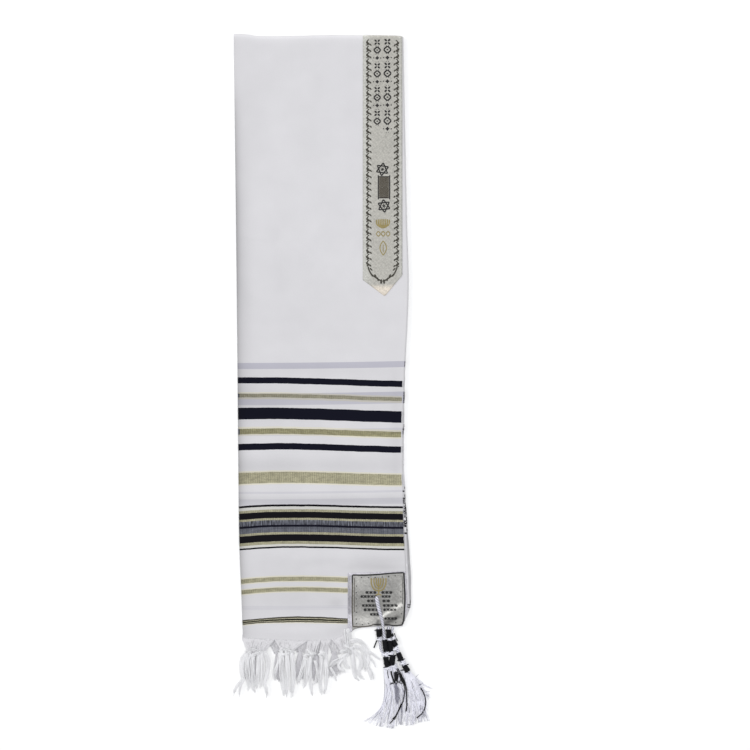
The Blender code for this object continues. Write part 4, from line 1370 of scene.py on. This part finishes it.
def neckband(finish):
    """The band lies on the top layer from round its end fold to its point."""
    share = shares(BAND_COLUMNS)
    width = BAND["right"] - BAND["left"]
    point_share = (BAND["point_x"] - BAND["left"]) / width
    end = np.interp(share, (0.0, point_share, 1.0), (BAND["left_end"], BAND["point"], BAND["right_end"]))
    along = np.concatenate((np.arange(5) * BAND_CURL_STEP, shares(BAND_ROWS)[1:]))[:, None]
    x = BAND["left"] + share * width
    down = BAND_START + along * (end - BAND_START)
    rim = np.minimum(np.minimum(share, 1 - share) * BAND_SPAN, (1 - along) * BAND_RUN)
    upper = band_face(x, down, -RIM_DROP * (1 - smooth_step(rim / BAND_ROUNDING)))
    # painted highlight on the band round the end fold
    tone = 1.0 + BAND_HIGHLIGHT * np.exp(-np.maximum(down, 0.0) / BAND_HIGHLIGHT_REACH)
    return trim_piece("neckband_cloth", x, down, upper, lifted(x, down, BAND_LIFT), tone, finish)


def corner_patch(finish):
    """The patch lies on the corner, along the hem and the selvedge."""
    share = shares(PATCH_PARTS)
    along = share[:, None]
    top = PATCH["top_left"] + share * (PATCH["top_right"] - PATCH["top_left"])
    nominal_x = PATCH["left"] + share * (right_edge(top) - PATCH["left"])
    down = top + along * (hem(share_across(nominal_x, top)) - PATCH["hem_margin"] - top)
    x = PATCH["left"] + share * (right_edge(down) - PATCH["edge_margin"] - PATCH["left"])
    rim = np.minimum(np.minimum(share, 1 - share), np.minimum(along, 1 - along)) * PATCH_SPAN
    upper = patch_face(x, down, -RIM_DROP * (1 - smooth_step(rim / PATCH_ROUNDING)))
    lower = lifted(x, down, BAND_LIFT + np.maximum(patch_rise(x, down), 0.0) * 0.9)
    # painted light and shade on the patch, in soft areas and along its creases
    tone = add_lines(add_spots(1.0, x, down, PATCH_SHADING), x, down, PATCH_CREASE_SHADING)
    return trim_piece("patch_cloth", x, down, upper, lower, tone, finish, holed=True)


def embroidery(name, face, strokes, finish):
    """Satin-stitched strokes on a trim: crowned ribbons that follow its face. Places are in pixels."""
    vertices, faces, uvs = [], [], []
    total = 0
    for points, width in strokes:
        x, down, way, _, at = along_path(points)
        to_end = np.minimum(at, at[-1] - at)
        half = width / 2 * np.clip(POINTED + to_end / (0.8 * width), POINTED, 1.0)
        for side, lift in ((-1, EMBROIDERY_RIM), (0, EMBROIDERY_CROWN), (1, EMBROIDERY_RIM)):
            vertices.append(face(x + side * half * way[:, 1], down - side * half * way[:, 0], lift))
            uvs.append(pair(at * MM, (side + 1) * width / 2 * MM))
        faces += grid_faces(3, len(at), total)
        total += 3 * len(at)
    return mesh_object(name, np.concatenate(vertices), faces, [finish], [("stitch", np.concatenate(uvs))])


def moved(stroke, x, down, scale_x=1.0, scale_down=1.0):
    points, width = stroke
    return [(x + scale_x * point[0], down + scale_down * point[1]) for point in points], width


def mirrored(stroke):
    points, width = stroke
    return [(VINE_MIRROR - point[0], point[1]) for point in points], width


def dash(x, down, half, width):
    """A stroke straight across."""
    return ((x - half, down), (x + half, down)), width


def vine_strokes():
    """The vines down both sides and where they meet."""
    strokes = []
    random = np.random.default_rng(11)
    for leaf in range(VINE_LEAVES):
        top = VINE_TOP + leaf * VINE_STEP
        for stroke in VINE_UNIT:
            sway = random.uniform(-0.25, 0.25)
            strokes += [moved(stroke, sway, top), mirrored(moved(stroke, -sway, top + 0.6))]
    for stroke in VINE_FOOT:
        strokes += [stroke, mirrored(stroke)]
    return strokes


def ornament_strokes():
    """The rows of ornament, the stars and the frame of the panel."""
    strokes = []
    for x, first, last, half_width in ORNAMENT_ROWS:
        for number, down in enumerate(np.arange(first, last, ORNAMENT_STEP)):
            for stroke in ORNAMENT_CYCLE[number % len(ORNAMENT_CYCLE)]:
                strokes.append(moved(stroke, x, down, half_width, half_width * 0.95))
            strokes += [dash(x + side * 1.15, down + ORNAMENT_STEP / 2, 0.45, 1.4) for side in (-1, 1)]
    for x, down, radius, lean in STARS:
        for half in range(2):
            turns = [math.radians(lean + 60 * half + 120 * corner - 90) for corner in range(4)]
            corners = [(x + radius * math.cos(turn), down + radius * math.sin(turn)) for turn in turns]
            strokes += [((here, after), STAR_THREAD) for here, after in zip(corners, corners[1:])]
        for turn in (0.2, 1.25, 2.3):
            reach_x, reach_down = 0.34 * radius * math.cos(turn), 0.34 * radius * math.sin(turn)
            strokes.append((((x - reach_x, down - reach_down), (x + reach_x, down + reach_down)), 1.3))
    x, first, last, width = PANEL
    for edge in (x - (width + 0.8) / 2, x + (width + 0.8) / 2):
        strokes.append((((edge, first - 2.2), (edge, last + 2.2)), 1.8))
    strokes += [dash(x, down, width * 0.56, 1.2) for down in (first - 0.6, last + 0.6)]
    return strokes


def panel_strokes():
    """The filled panel, as rows of broad brown stitches."""
    x, first, last, width = PANEL
    rows = np.arange(first, last, 1.1)
    return [(((x - width / 2, down), (x, down + 0.15), (x + width / 2, down)), 1.5) for down in rows]


def gold_strokes():
    strokes = []
    x, foot, reach, blades = GOLD_FAN
    for blade in range(blades):
        lean = (blade + 0.5) / blades * 2 - 1.0
        bend = x + 0.8 * reach * lean, foot - 2.2
        tip = x + 0.92 * reach * lean, foot - reach * (1.0 - 0.12 * lean * lean)
        strokes.append((((x + 0.3 * reach * lean, foot - 0.2), bend, tip), 2.0))
    strokes.append((((x - 4.4, foot - 0.8), (x, foot + 0.6), (x + 4.4, foot - 0.8)), 2.4))
    for x, down in GOLD_LOZENGES:
        strokes += [moved((points, 1.5), x, down, 2.1, 2.7) for points, _ in LOZENGE_SIDES]
    return strokes + list(GOLD_LEAF)


def patch_strokes():
    """The patch's border and dots, and its rows of plain ornament."""
    strokes = list(PATCH_BORDER) + [dash(x, down, 0.6, 1.9) for x, down in PATCH_DOTS]
    for down, first, last in PATCH_ROWS:
        # each row leaves a gap for the lamp stand's foot
        gap = LAMP_MIDDLE + (down - 592) * 0.12
        for start, end in ((first, gap - 1.8), (gap + 2.2, last)):
            if end - start < 1.0:
                continue
            count = max(1, round((end - start) / LOZENGE_STEP))
            step = (end - start) / count
            for place in range(count):
                strokes.append(dash(start + step * (place + 0.5), down, 0.39 * step, 6.0))
                if place:
                    strokes += [dash(start + step * place, down + side, 0.5, 1.9) for side in (-1.15, 1.15)]
    return strokes


def lamp_strokes():
    """A plain branched lamp stand."""
    strokes = [(((LAMP_MIDDLE, LAMP_TOP), (LAMP_MIDDLE, LAMP_FOOT)), 1.8)]
    for reach, bottom in LAMP_BRANCHES:
        rise = bottom - LAMP_TOP
        for side in (-1, 1):
            points = [(LAMP_MIDDLE + side * reach * out, LAMP_TOP + rise * low) for out, low in LAMP_BEND]
            strokes.append((points, 2.0))
    foot = ((LAMP_MIDDLE - 3.0, LAMP_FOOT + 1), (LAMP_MIDDLE, LAMP_FOOT), (LAMP_MIDDLE + 3.0, LAMP_FOOT + 1))
    return [*strokes, (foot, 1.8)]


# Yarns

def frames(places):
    """Two directions square to a line of places, carried along it without twisting."""
    ways = np.gradient(places, axis=0)
    ways = ways / np.maximum(np.linalg.norm(ways, axis=1, keepdims=True), 1e-9)
    first = np.cross(ways[0], UP)
    if np.linalg.norm(first) < 0.1:
        first = np.cross(ways[0], (0.0, 1.0, 0.0))
    asides = np.empty_like(places)
    for number, way in enumerate(ways):
        first = first - way * np.dot(first, way)
        first = first / max(np.linalg.norm(first), 1e-9)
        asides[number] = first
    return asides, np.cross(asides, ways)


def wound(centre, angle, radius):
    """Places turned round a line of places, by an angle and a radius in millimetres at each."""
    aside, over = frames(centre)
    angle = angle[:, None]
    return centre + radius[:, None] * MM * (np.cos(angle) * aside + np.sin(angle) * over)


def tubes(name, strands, finishes):
    """Closed round strands as one mesh.

    A strand is its places, its radius or radii in millimetres and its finish's number.
    """
    vertices, faces, kinds = [], [], []
    total = 0
    turn = (np.arange(SIDES) + 0.5) * 2 * math.pi / SIDES
    for places, radii, kind in strands:
        count = len(places)
        aside, over = frames(places)
        ring = np.cos(turn)[:, None] * aside[:, None] + np.sin(turn)[:, None] * over[:, None]
        radii = np.broadcast_to(radii, count) * MM
        vertices.append((places[:, None, :] + radii[:, None, None] * ring).reshape(-1, 3))
        step, side = np.meshgrid(np.arange(count - 1), np.arange(SIDES), indexing="ij")
        here = total + step * SIDES + side
        after = total + step * SIDES + (side + 1) % SIDES
        quads = np.stack((here, after, after + SIDES, here + SIDES), axis=-1).reshape(-1, 4)
        faces += quads.tolist()
        faces.append(tuple(range(total + SIDES - 1, total - 1, -1)))
        total += count * SIDES
        faces.append(tuple(range(total - SIDES, total)))
        kinds += [kind] * (len(quads) + 2)
    return mesh_object(name, np.concatenate(vertices), faces, finishes, face_materials=kinds)


def seeded(node):
    return np.random.default_rng(sum(map(ord, node)))


def top_lock_height(x, down):
    """The top fringe lies on the fringe below it, and comes down to the table past its ends."""
    landed = np.maximum(smooth_step((down - UNDER_TIPS) / 18.0), smooth_step((x - UNDER_RIGHT) / 14.0))
    return TOP_LOCK_Z + (LANDED_Z - TOP_LOCK_Z) * landed


def lock(rows, fibres, height, random, crown=0.9, radius=0.58, arch=0.0, steps=13, kind=0):
    """A lock of fibres side by side along a path of x, down and width in pixels.

    height is one number or a function of x and down.
    """
    x, down, way, travelled, at = along_path(rows, 4 * steps)
    width = curve(travelled, [row[2] * PIXEL for row in rows], at)
    length = at[-1]
    strands = []
    for number in range(fibres):
        place = ((number + 0.5) / fibres - 0.5) * 2 * LOCK_SPREAD + random.uniform(-0.12, 0.12)
        reach = 1.0 - random.uniform(0.0, 0.13) - 0.06 * abs(place)
        own = np.linspace(0.0, reach * length, steps)
        share = own / length
        mid_x, mid_down, way_x, way_down, own_width = (
            np.interp(own, at, values) for values in (x, down, way[:, 0], way[:, 1], width)
        )
        sway = LOCK_SWAY * np.sin(share * random.uniform(5.0, 10.0) + random.uniform(0, 2 * math.pi))
        offset = place * own_width / 2 + sway * smooth_step(share * 4)
        fibre_x, fibre_down = mid_x - offset * way_down, mid_down + offset * way_x
        z = height(fibre_x, fibre_down) if callable(height) else height
        z = z + crown * (1 - place * place) * np.minimum(own_width / 5.0, 1.0)
        z = z + arch * np.sin(math.pi * share) + random.uniform(-0.35, 0.35)
        radii = radius * random.uniform(0.85, 1.2) * (1.0 - LOCK_TAPER * np.linspace(0.0, 1.0, steps) ** 3)
        strands.append((world(fibre_x, fibre_down, np.maximum(z, radii)), radii, kind))
    return strands


def gather(node, random, under):
    """Threads that come out of the cloth a little above its hem and run to the neck of a bunch."""
    hem_from, hem_to, neck_from, neck_to, neck_down, neck_z = GATHERS[node]
    count = int((hem_to - hem_from) / (UNDER_SPACING if under else TOP_SPACING))
    along = np.linspace(0.0, 1.0, GATHER_STEPS)
    strands = []
    for number in range(count):
        share = (number + 0.5) / count
        start_x = hem_from + share * (hem_to - hem_from)
        edge = float(hem(share_across(start_x, FOLDED_LENGTH - 3.0)))
        start_down = edge - (UNDER_START if under else random.uniform(*TOP_START))
        end_x = neck_from + (0.08 + 0.84 * share) * (neck_to - neck_from) + random.uniform(-1.5, 1.5)
        end_down = neck_down + random.uniform(-1.0, 2.5)
        down = start_down + (end_down - start_down) * along
        past = np.clip((down - edge) / (end_down - edge), 0.0, 1.0)
        x = start_x + (end_x - start_x) * (past + 0.10 * np.sin(math.pi * past))
        if under:
            z = UNDER_START_Z + (neck_z - UNDER_START_Z) * smooth_step(past)
        else:
            # a thread starts inside the cloth and rises to its face before the hem
            rising = THREAD_RISE * smooth_step((down - start_down) / (edge - start_down + 1.0))
            on_cloth = stack_top(x, np.minimum(down, edge)) - THREAD_DEPTH + rising
            crown = 0.5 * np.sin(math.pi * past) + random.uniform(-0.12, 0.12)
            z = on_cloth + (neck_z + random.uniform(-0.4, 0.6) - on_cloth) * smooth_step(past * 1.1) + crown
        strands.append((world(x, down, np.maximum(z, 0.55)), GATHER_RADIUS, 0 if under else 1))
    return strands


def fringe_bunch(node, finishes):
    random = seeded(node)
    strands = gather(node, random, under=False)
    for rows, fibres in LOCKS[node]:
        strands += lock(rows, fibres, top_lock_height, random)
    for rows in WRAPS[node]:
        strands += lock(rows, 6, top_lock_height, random, crown=0.8, radius=0.55, arch=1.6, steps=9)
    return tubes("bunch_" + node[-1], strands, finishes)


def fringe_beneath(node, finishes):
    random = seeded(node)
    strands = gather(node, random, under=True)
    knot, *tips = UNDER_LOCKS[node]
    for number in range(UNDER_LOCK_COUNT):
        share = (number + 0.5) / UNDER_LOCK_COUNT
        tip_x, tip_down = (curve((0.0, 0.5, 1.0), values, share) for values in zip(*tips))
        rows = []
        for along, width in UNDER_LOCK_WIDTHS:
            x = knot[0] + (tip_x - knot[0]) * (along + 0.12 * math.sin(math.pi * along))
            down = knot[1] - 3.0 + (tip_down - knot[1] + 3.0) * along
            rows.append((*to_pixels(x, down), width))
        strands += lock(rows, 6, UNDER_LOCK_Z, random, crown=0.5, radius=0.5, steps=9)
    ring = [
        (*to_pixels(knot[0] + aside, knot[1] + past), width)
        for aside, past, width in ((-4.0, -2.0, 2.6), (0.0, 0.0, 3.2), (4.0, -2.0, 2.6))
    ]
    strands += lock(ring, 5, UNDER_LOCK_Z, random, crown=0.6, radius=0.5, arch=0.8, steps=7)
    return tubes("beneath_" + node[-1], strands, finishes)


def coil(first, last, outer, middle_z, random):
    """A tight winding from one end to the other, with a core inside it."""
    outer = outer * WINDING_FULLNESS
    x, down = from_pixels((first, last))
    turns = math.hypot(x[1] - x[0], down[1] - down[0]) / (2 * WIRE * COIL_PITCH)
    along = np.linspace(0.0, 1.0, int(turns * COIL_STEPS))
    centre = world(x[0] + (x[1] - x[0]) * along, down[0] + (down[1] - down[0]) * along, middle_z)
    uneven = np.interp(along * turns, np.arange(int(turns) + 2), random.uniform(0.86, 1.08, int(turns) + 2))
    bulge = (outer - WIRE) * (uneven - 0.12 * np.abs(2 * along - 1.0) ** 6)
    helix = wound(centre, 2 * math.pi * turns * along, bulge)
    helix[:, 2] = np.maximum(helix[:, 2], WIRE * COIL_SWELL * MM)
    core = centre[:: max(1, len(centre) // 8)]
    core_radius = min(CORE_SHARE * outer, middle_z - 0.1)
    return [(helix, WIRE * COIL_SWELL, BLACK_STRING), (core, core_radius, BLACK_STRING)]


def loose_ends(first, last, outer, middle_z, random):
    """Black ends of string that stand out of a winding."""
    x, down = from_pixels((first, last))
    length = math.hypot(x[1] - x[0], down[1] - down[0])
    way_x, way_down = (x[1] - x[0]) / length, (down[1] - down[0]) / length
    reach = outer * WINDING_FULLNESS
    strands = []
    for side in (-1, 1):
        at = random.choice((0.06, 0.94)) * length
        across = side * (reach * np.array((0.3, 0.85, 1.1)) + np.array((0.0, 0.2, random.uniform(0.6, 1.6))))
        along = at + np.array((0.0, 0.3, 0.9)) * random.uniform(-2.6, 2.6)
        z = np.array((middle_z + 0.5 * reach, middle_z, max(1.0, middle_z - 1.2)))
        end_x = x[0] + along * way_x - across * way_down
        end_down = down[0] + along * way_down + across * way_x
        strands.append((world(end_x, end_down, z), (1.0, 1.1, 0.8), BLACK_STRING))
    return strands


def string_knot(centre, half_width, way, random):
    """Crossing turns of white string round the cord."""
    along = np.array((way[0], way[1], 0.0))
    aside = np.cross(along, UP)
    strands = []
    for lean, shift in KNOT_TURNS:
        angle = np.linspace(0.0, 2.1 * math.pi, 15) + random.uniform(0, 6.28)
        width = half_width * PIXEL * random.uniform(0.86, 1.0)
        out = np.cos(angle) * width
        over = np.sin(angle) * min(width, KNOT_Z - 0.2) * 0.8
        past = shift + lean * out + random.uniform(-0.3, 0.3)
        loop = centre + (out[:, None] * aside + over[:, None] * UP + past[:, None] * along) * MM
        loop[:, 2] = np.maximum(loop[:, 2], 0.9 * MM)
        strands.append((loop, KNOT_STRING, WHITE_STRING))
    return strands


def twisted_cord(rows):
    """Strings twisted round each other along a path of x, down, height and radius in millimetres."""
    table = np.array(rows, dtype=float)
    travelled = np.concatenate(([0.0], np.cumsum(np.linalg.norm(np.diff(table[:, :3], axis=0), axis=1))))
    at = np.linspace(0.0, travelled[-1], int(travelled[-1] / CORD_STEP))
    x, down, z, radius = (curve(travelled, column, at) for column in table.T)
    centre = world(x, down, z)
    strands = []
    for ply in range(CORD_PLIES):
        for turn, reach, thickness, kind in CORD_STRINGS:
            angle = 2 * math.pi * (at / CORD_PITCH + (ply + turn) / CORD_PLIES)
            strands.append((wound(centre, angle, radius * reach), radius * thickness, kind))
    return strands


def bound_cord(node, random):
    """The cord with its windings and knots."""
    strands = twisted_cord(CORDS[node])
    for winding in WINDINGS[node]:
        strands += coil(*winding, random)
        strands += loose_ends(*winding, random)
    path = np.array(CORDS[node], dtype=float)
    for middle, half_width in KNOTS[node]:
        x, down = from_pixels([middle])
        nearest = int(np.clip(np.argmin(np.abs(path[:, 1] - down)), 1, len(path) - 2))
        way = world(*path[nearest + 1, :2], 0.0) - world(*path[nearest - 1, :2], 0.0)
        centre = world(x[0], down[0], KNOT_Z)
        strands += string_knot(centre, half_width, way / np.linalg.norm(way), random)
    return strands


def fanned_strings(node, random):
    """Strings that come down from the cord between the guides, and lie in a thin heap."""
    along = np.linspace(0.0, 1.0, FAN_STEPS)
    guides = [along_path(points, FAN_STEPS)[:2] for points in TASSEL_GUIDES]
    strands = []
    for first, last, fibres in TASSEL_FANS[node]:
        for number in range(fibres):
            at = first + (last - first) * min((number + random.uniform(0.0, 1.0)) / fibres, 0.999)
            share = np.clip(at - int(at) + random.normal(0.0, STRAY) * along, -0.15, 1.15)
            before, after = guides[int(at)], guides[int(at) + 1]
            wild = 2.6 if random.uniform() < 0.3 else 0.9
            curl = wild * random.uniform(0.6, 1.2)
            curl = curl * np.sin(along * random.uniform(5.0, 15.0) + random.uniform(0, 6.28))
            x = before[0] + share * (after[0] - before[0]) + curl * smooth_step(along * 3)
            down = before[1] + share * (after[1] - before[1])
            end = int(FAN_STEPS - random.choice((0, 0, 0, 1, 1, 2, 3)))
            heaped = random.uniform(0.0, 2.2) * (1.0 - 0.5 * along)
            z = FAN_TOP_Z + (HEAP_Z + heaped - FAN_TOP_Z) * smooth_step(along * 2.2)
            radii = random.uniform(0.38, 0.58) * (1.0 - 0.35 * along ** 3)
            # some strings are grey: painted shade among the strands
            kind = SHADE_STRING if random.uniform() < 0.16 else WHITE_STRING
            z = z - (0.5 if kind == SHADE_STRING else 0.0)
            strands.append((world(x, down, np.maximum(z, radii))[:end], radii[:end], kind))
    return strands


def tufts(node, random):
    """Short strings that stand out sideways."""
    along = np.linspace(0.0, 1.0, FAN_STEPS)
    strands = []
    for start, reach, turn, count in TUFTS.get(node, ()):
        x, down = from_pixels([start])
        for _ in range(count):
            own = math.radians(turn + random.normal(0.0, 22.0))
            out = along * reach * PIXEL * random.uniform(0.5, 1.0)
            bend = random.uniform(-1.6, 1.6) * np.sin(math.pi * along)
            tuft_x = x + random.normal(0.0, 1.2) + out * math.cos(own) - bend * math.sin(own)
            tuft_down = down + random.normal(0.0, 1.6) + out * math.sin(own) + bend * math.cos(own)
            z = 1.4 + 1.6 * np.sin(math.pi * along) + random.uniform(0.0, 1.0)
            # some tufts are grey: painted shade among the strings
            kind = SHADE_STRING if random.uniform() < 0.3 else WHITE_STRING
            strands.append((world(tuft_x, tuft_down, z), 0.42 * (1.0 - 0.5 * along ** 2), kind))
    return strands


def black_string_height(node, down):
    """Black strings lie on the windings, and come down past the last of them."""
    if node == "tzitzit_2":
        return 3.6 - 2.4 * smooth_step((down - 902.0) / 8.0)
    return np.where(down > 945.0, 4.3 - 1.6 * smooth_step((down - 950.0) / 60.0), 4.6)


def tassel(node, finishes):
    random = seeded(node)
    strands = bound_cord(node, random) + fanned_strings(node, random) + tufts(node, random)
    if node == "tzitzit_3":
        # grey strands in the tassel's gap: painted shade
        strands += lock(SHADED_STRANDS, 9, SHADED_Z, random, crown=0.2, radius=0.45, kind=SHADE_STRING)
    for points, radius in BLACK_STRINGS[node]:
        x, down, *_ = along_path(points, 17)
        z = black_string_height(node, down)
        strands.append((world(x, down, z), radius * BLACK_STRING_SHARE, BLACK_STRING))
    return tubes("tassel_" + node[-1], strands, finishes)


# Camera and light

def area_light(name, place, aim, size, power, tint):
    data = bpy.data.lights.new(name, "AREA")
    data.shape = "DISK"
    data.size = size
    data.energy = power
    data.color = tint
    made = add_object(name, data)
    made.location = place
    way = np.array(aim) - np.array(place)
    tilt = math.atan2(math.hypot(way[0], way[1]), -way[2])
    made.rotation_euler = (tilt, 0.0, math.atan2(way[1], way[0]) - math.pi / 2)


def camera_and_light():
    lens = bpy.data.cameras.new("camera")
    lens.lens = FOCAL_LENGTH
    lens.sensor_width = SENSOR_WIDTH
    camera = add_object("camera", lens)
    camera.location = CAMERA_PLACE
    bpy.context.scene.camera = camera
    for light in LIGHTS:
        area_light(*light)
    sky = bpy.data.worlds.new("soft sky")
    sky.use_nodes = True
    background = sky.node_tree.nodes["Background"]
    background.inputs["Color"].default_value = SKY_TINT
    background.inputs["Strength"].default_value = SKY_STRENGTH
    bpy.context.scene.world = sky
    bpy.context.scene.view_settings.view_transform = "Standard"
    corners = ((-1, -1), (1, -1), (1, 1), (-1, 1))
    places = np.array([(FLOOR_HALF * x, FLOOR_HALF * y, FLOOR_Z) for x, y in corners])
    floor = mesh_object("floor", places, [(0, 1, 2, 3)], [floor_material()])


def ride_as(piece, slot, *nodes):
    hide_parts(*nodes)
    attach(piece, "root")
    return piece


def main():
    camera_and_light()
    cloth = woven_cloth()
    silver = brocade("silver_brocade", BAND_TINT, 0.75)
    patch_silver = brocade("patch_brocade", PATCH_TINT, 1.0, margin=MARGIN_TINT)
    thread = {name: thread_material(name, *values) for name, values in THREADS.items()}
    yarn = {name: yarn_material(name, *values) for name, values in YARNS.items()}

    top = ride_as(top_sheet(cloth), "white_cloth", "top_layer")
    layers = [
        ride_as(lower_sheet(name + "_cloth", name, cloth), "white_cloth", "folded_layers")
        for name in ("second", "third", "lowest")
    ]
    band = ride_as(neckband(silver), "silver_brocade", "neckband")
    patch = ride_as(corner_patch(patch_silver), "silver_brocade", "corner_patch")
    on_band = [
        embroidery("band_vine", band_face, vine_strokes(), thread["vine_thread"]),
        embroidery("band_ornament", band_face, ornament_strokes(), thread["black_thread"]),
        embroidery("band_panel", band_face, panel_strokes(), thread["brown_thread"]),
        embroidery("band_gold", band_face, gold_strokes(), thread["gold_thread"]),
    ]
    on_patch = [
        embroidery("patch_border", patch_face, patch_strokes(), thread["black_thread"]),
        embroidery("patch_brown_edge", patch_face, PATCH_BROWN_EDGE, thread["brown_thread"]),
        embroidery("patch_lamp", patch_face, lamp_strokes(), thread["gold_thread"]),
    ]
    for piece in on_band + on_patch:
        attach(piece, "root")
    fringe = []
    for number in range(1, 6):
        upper, under = f"fringe_top_{number}", f"fringe_under_{number}"
        bunch = fringe_bunch(upper, [yarn["white_yarn"], yarn["cloth_yarn"]])
        # the fringe beneath takes the darker yarn: painted shade
        beneath = fringe_beneath(under, [yarn["shaded_yarn"]])
        fringe += [ride_as(bunch, "white_yarn", upper), ride_as(beneath, "white_yarn", under)]
    strings = [yarn["tassel_white"], yarn["black_string"], yarn["shade_string"]]
    tassels = [ride_as(tassel(node, strings), "wound_string", node) for node in sorted(CORDS)]


main()
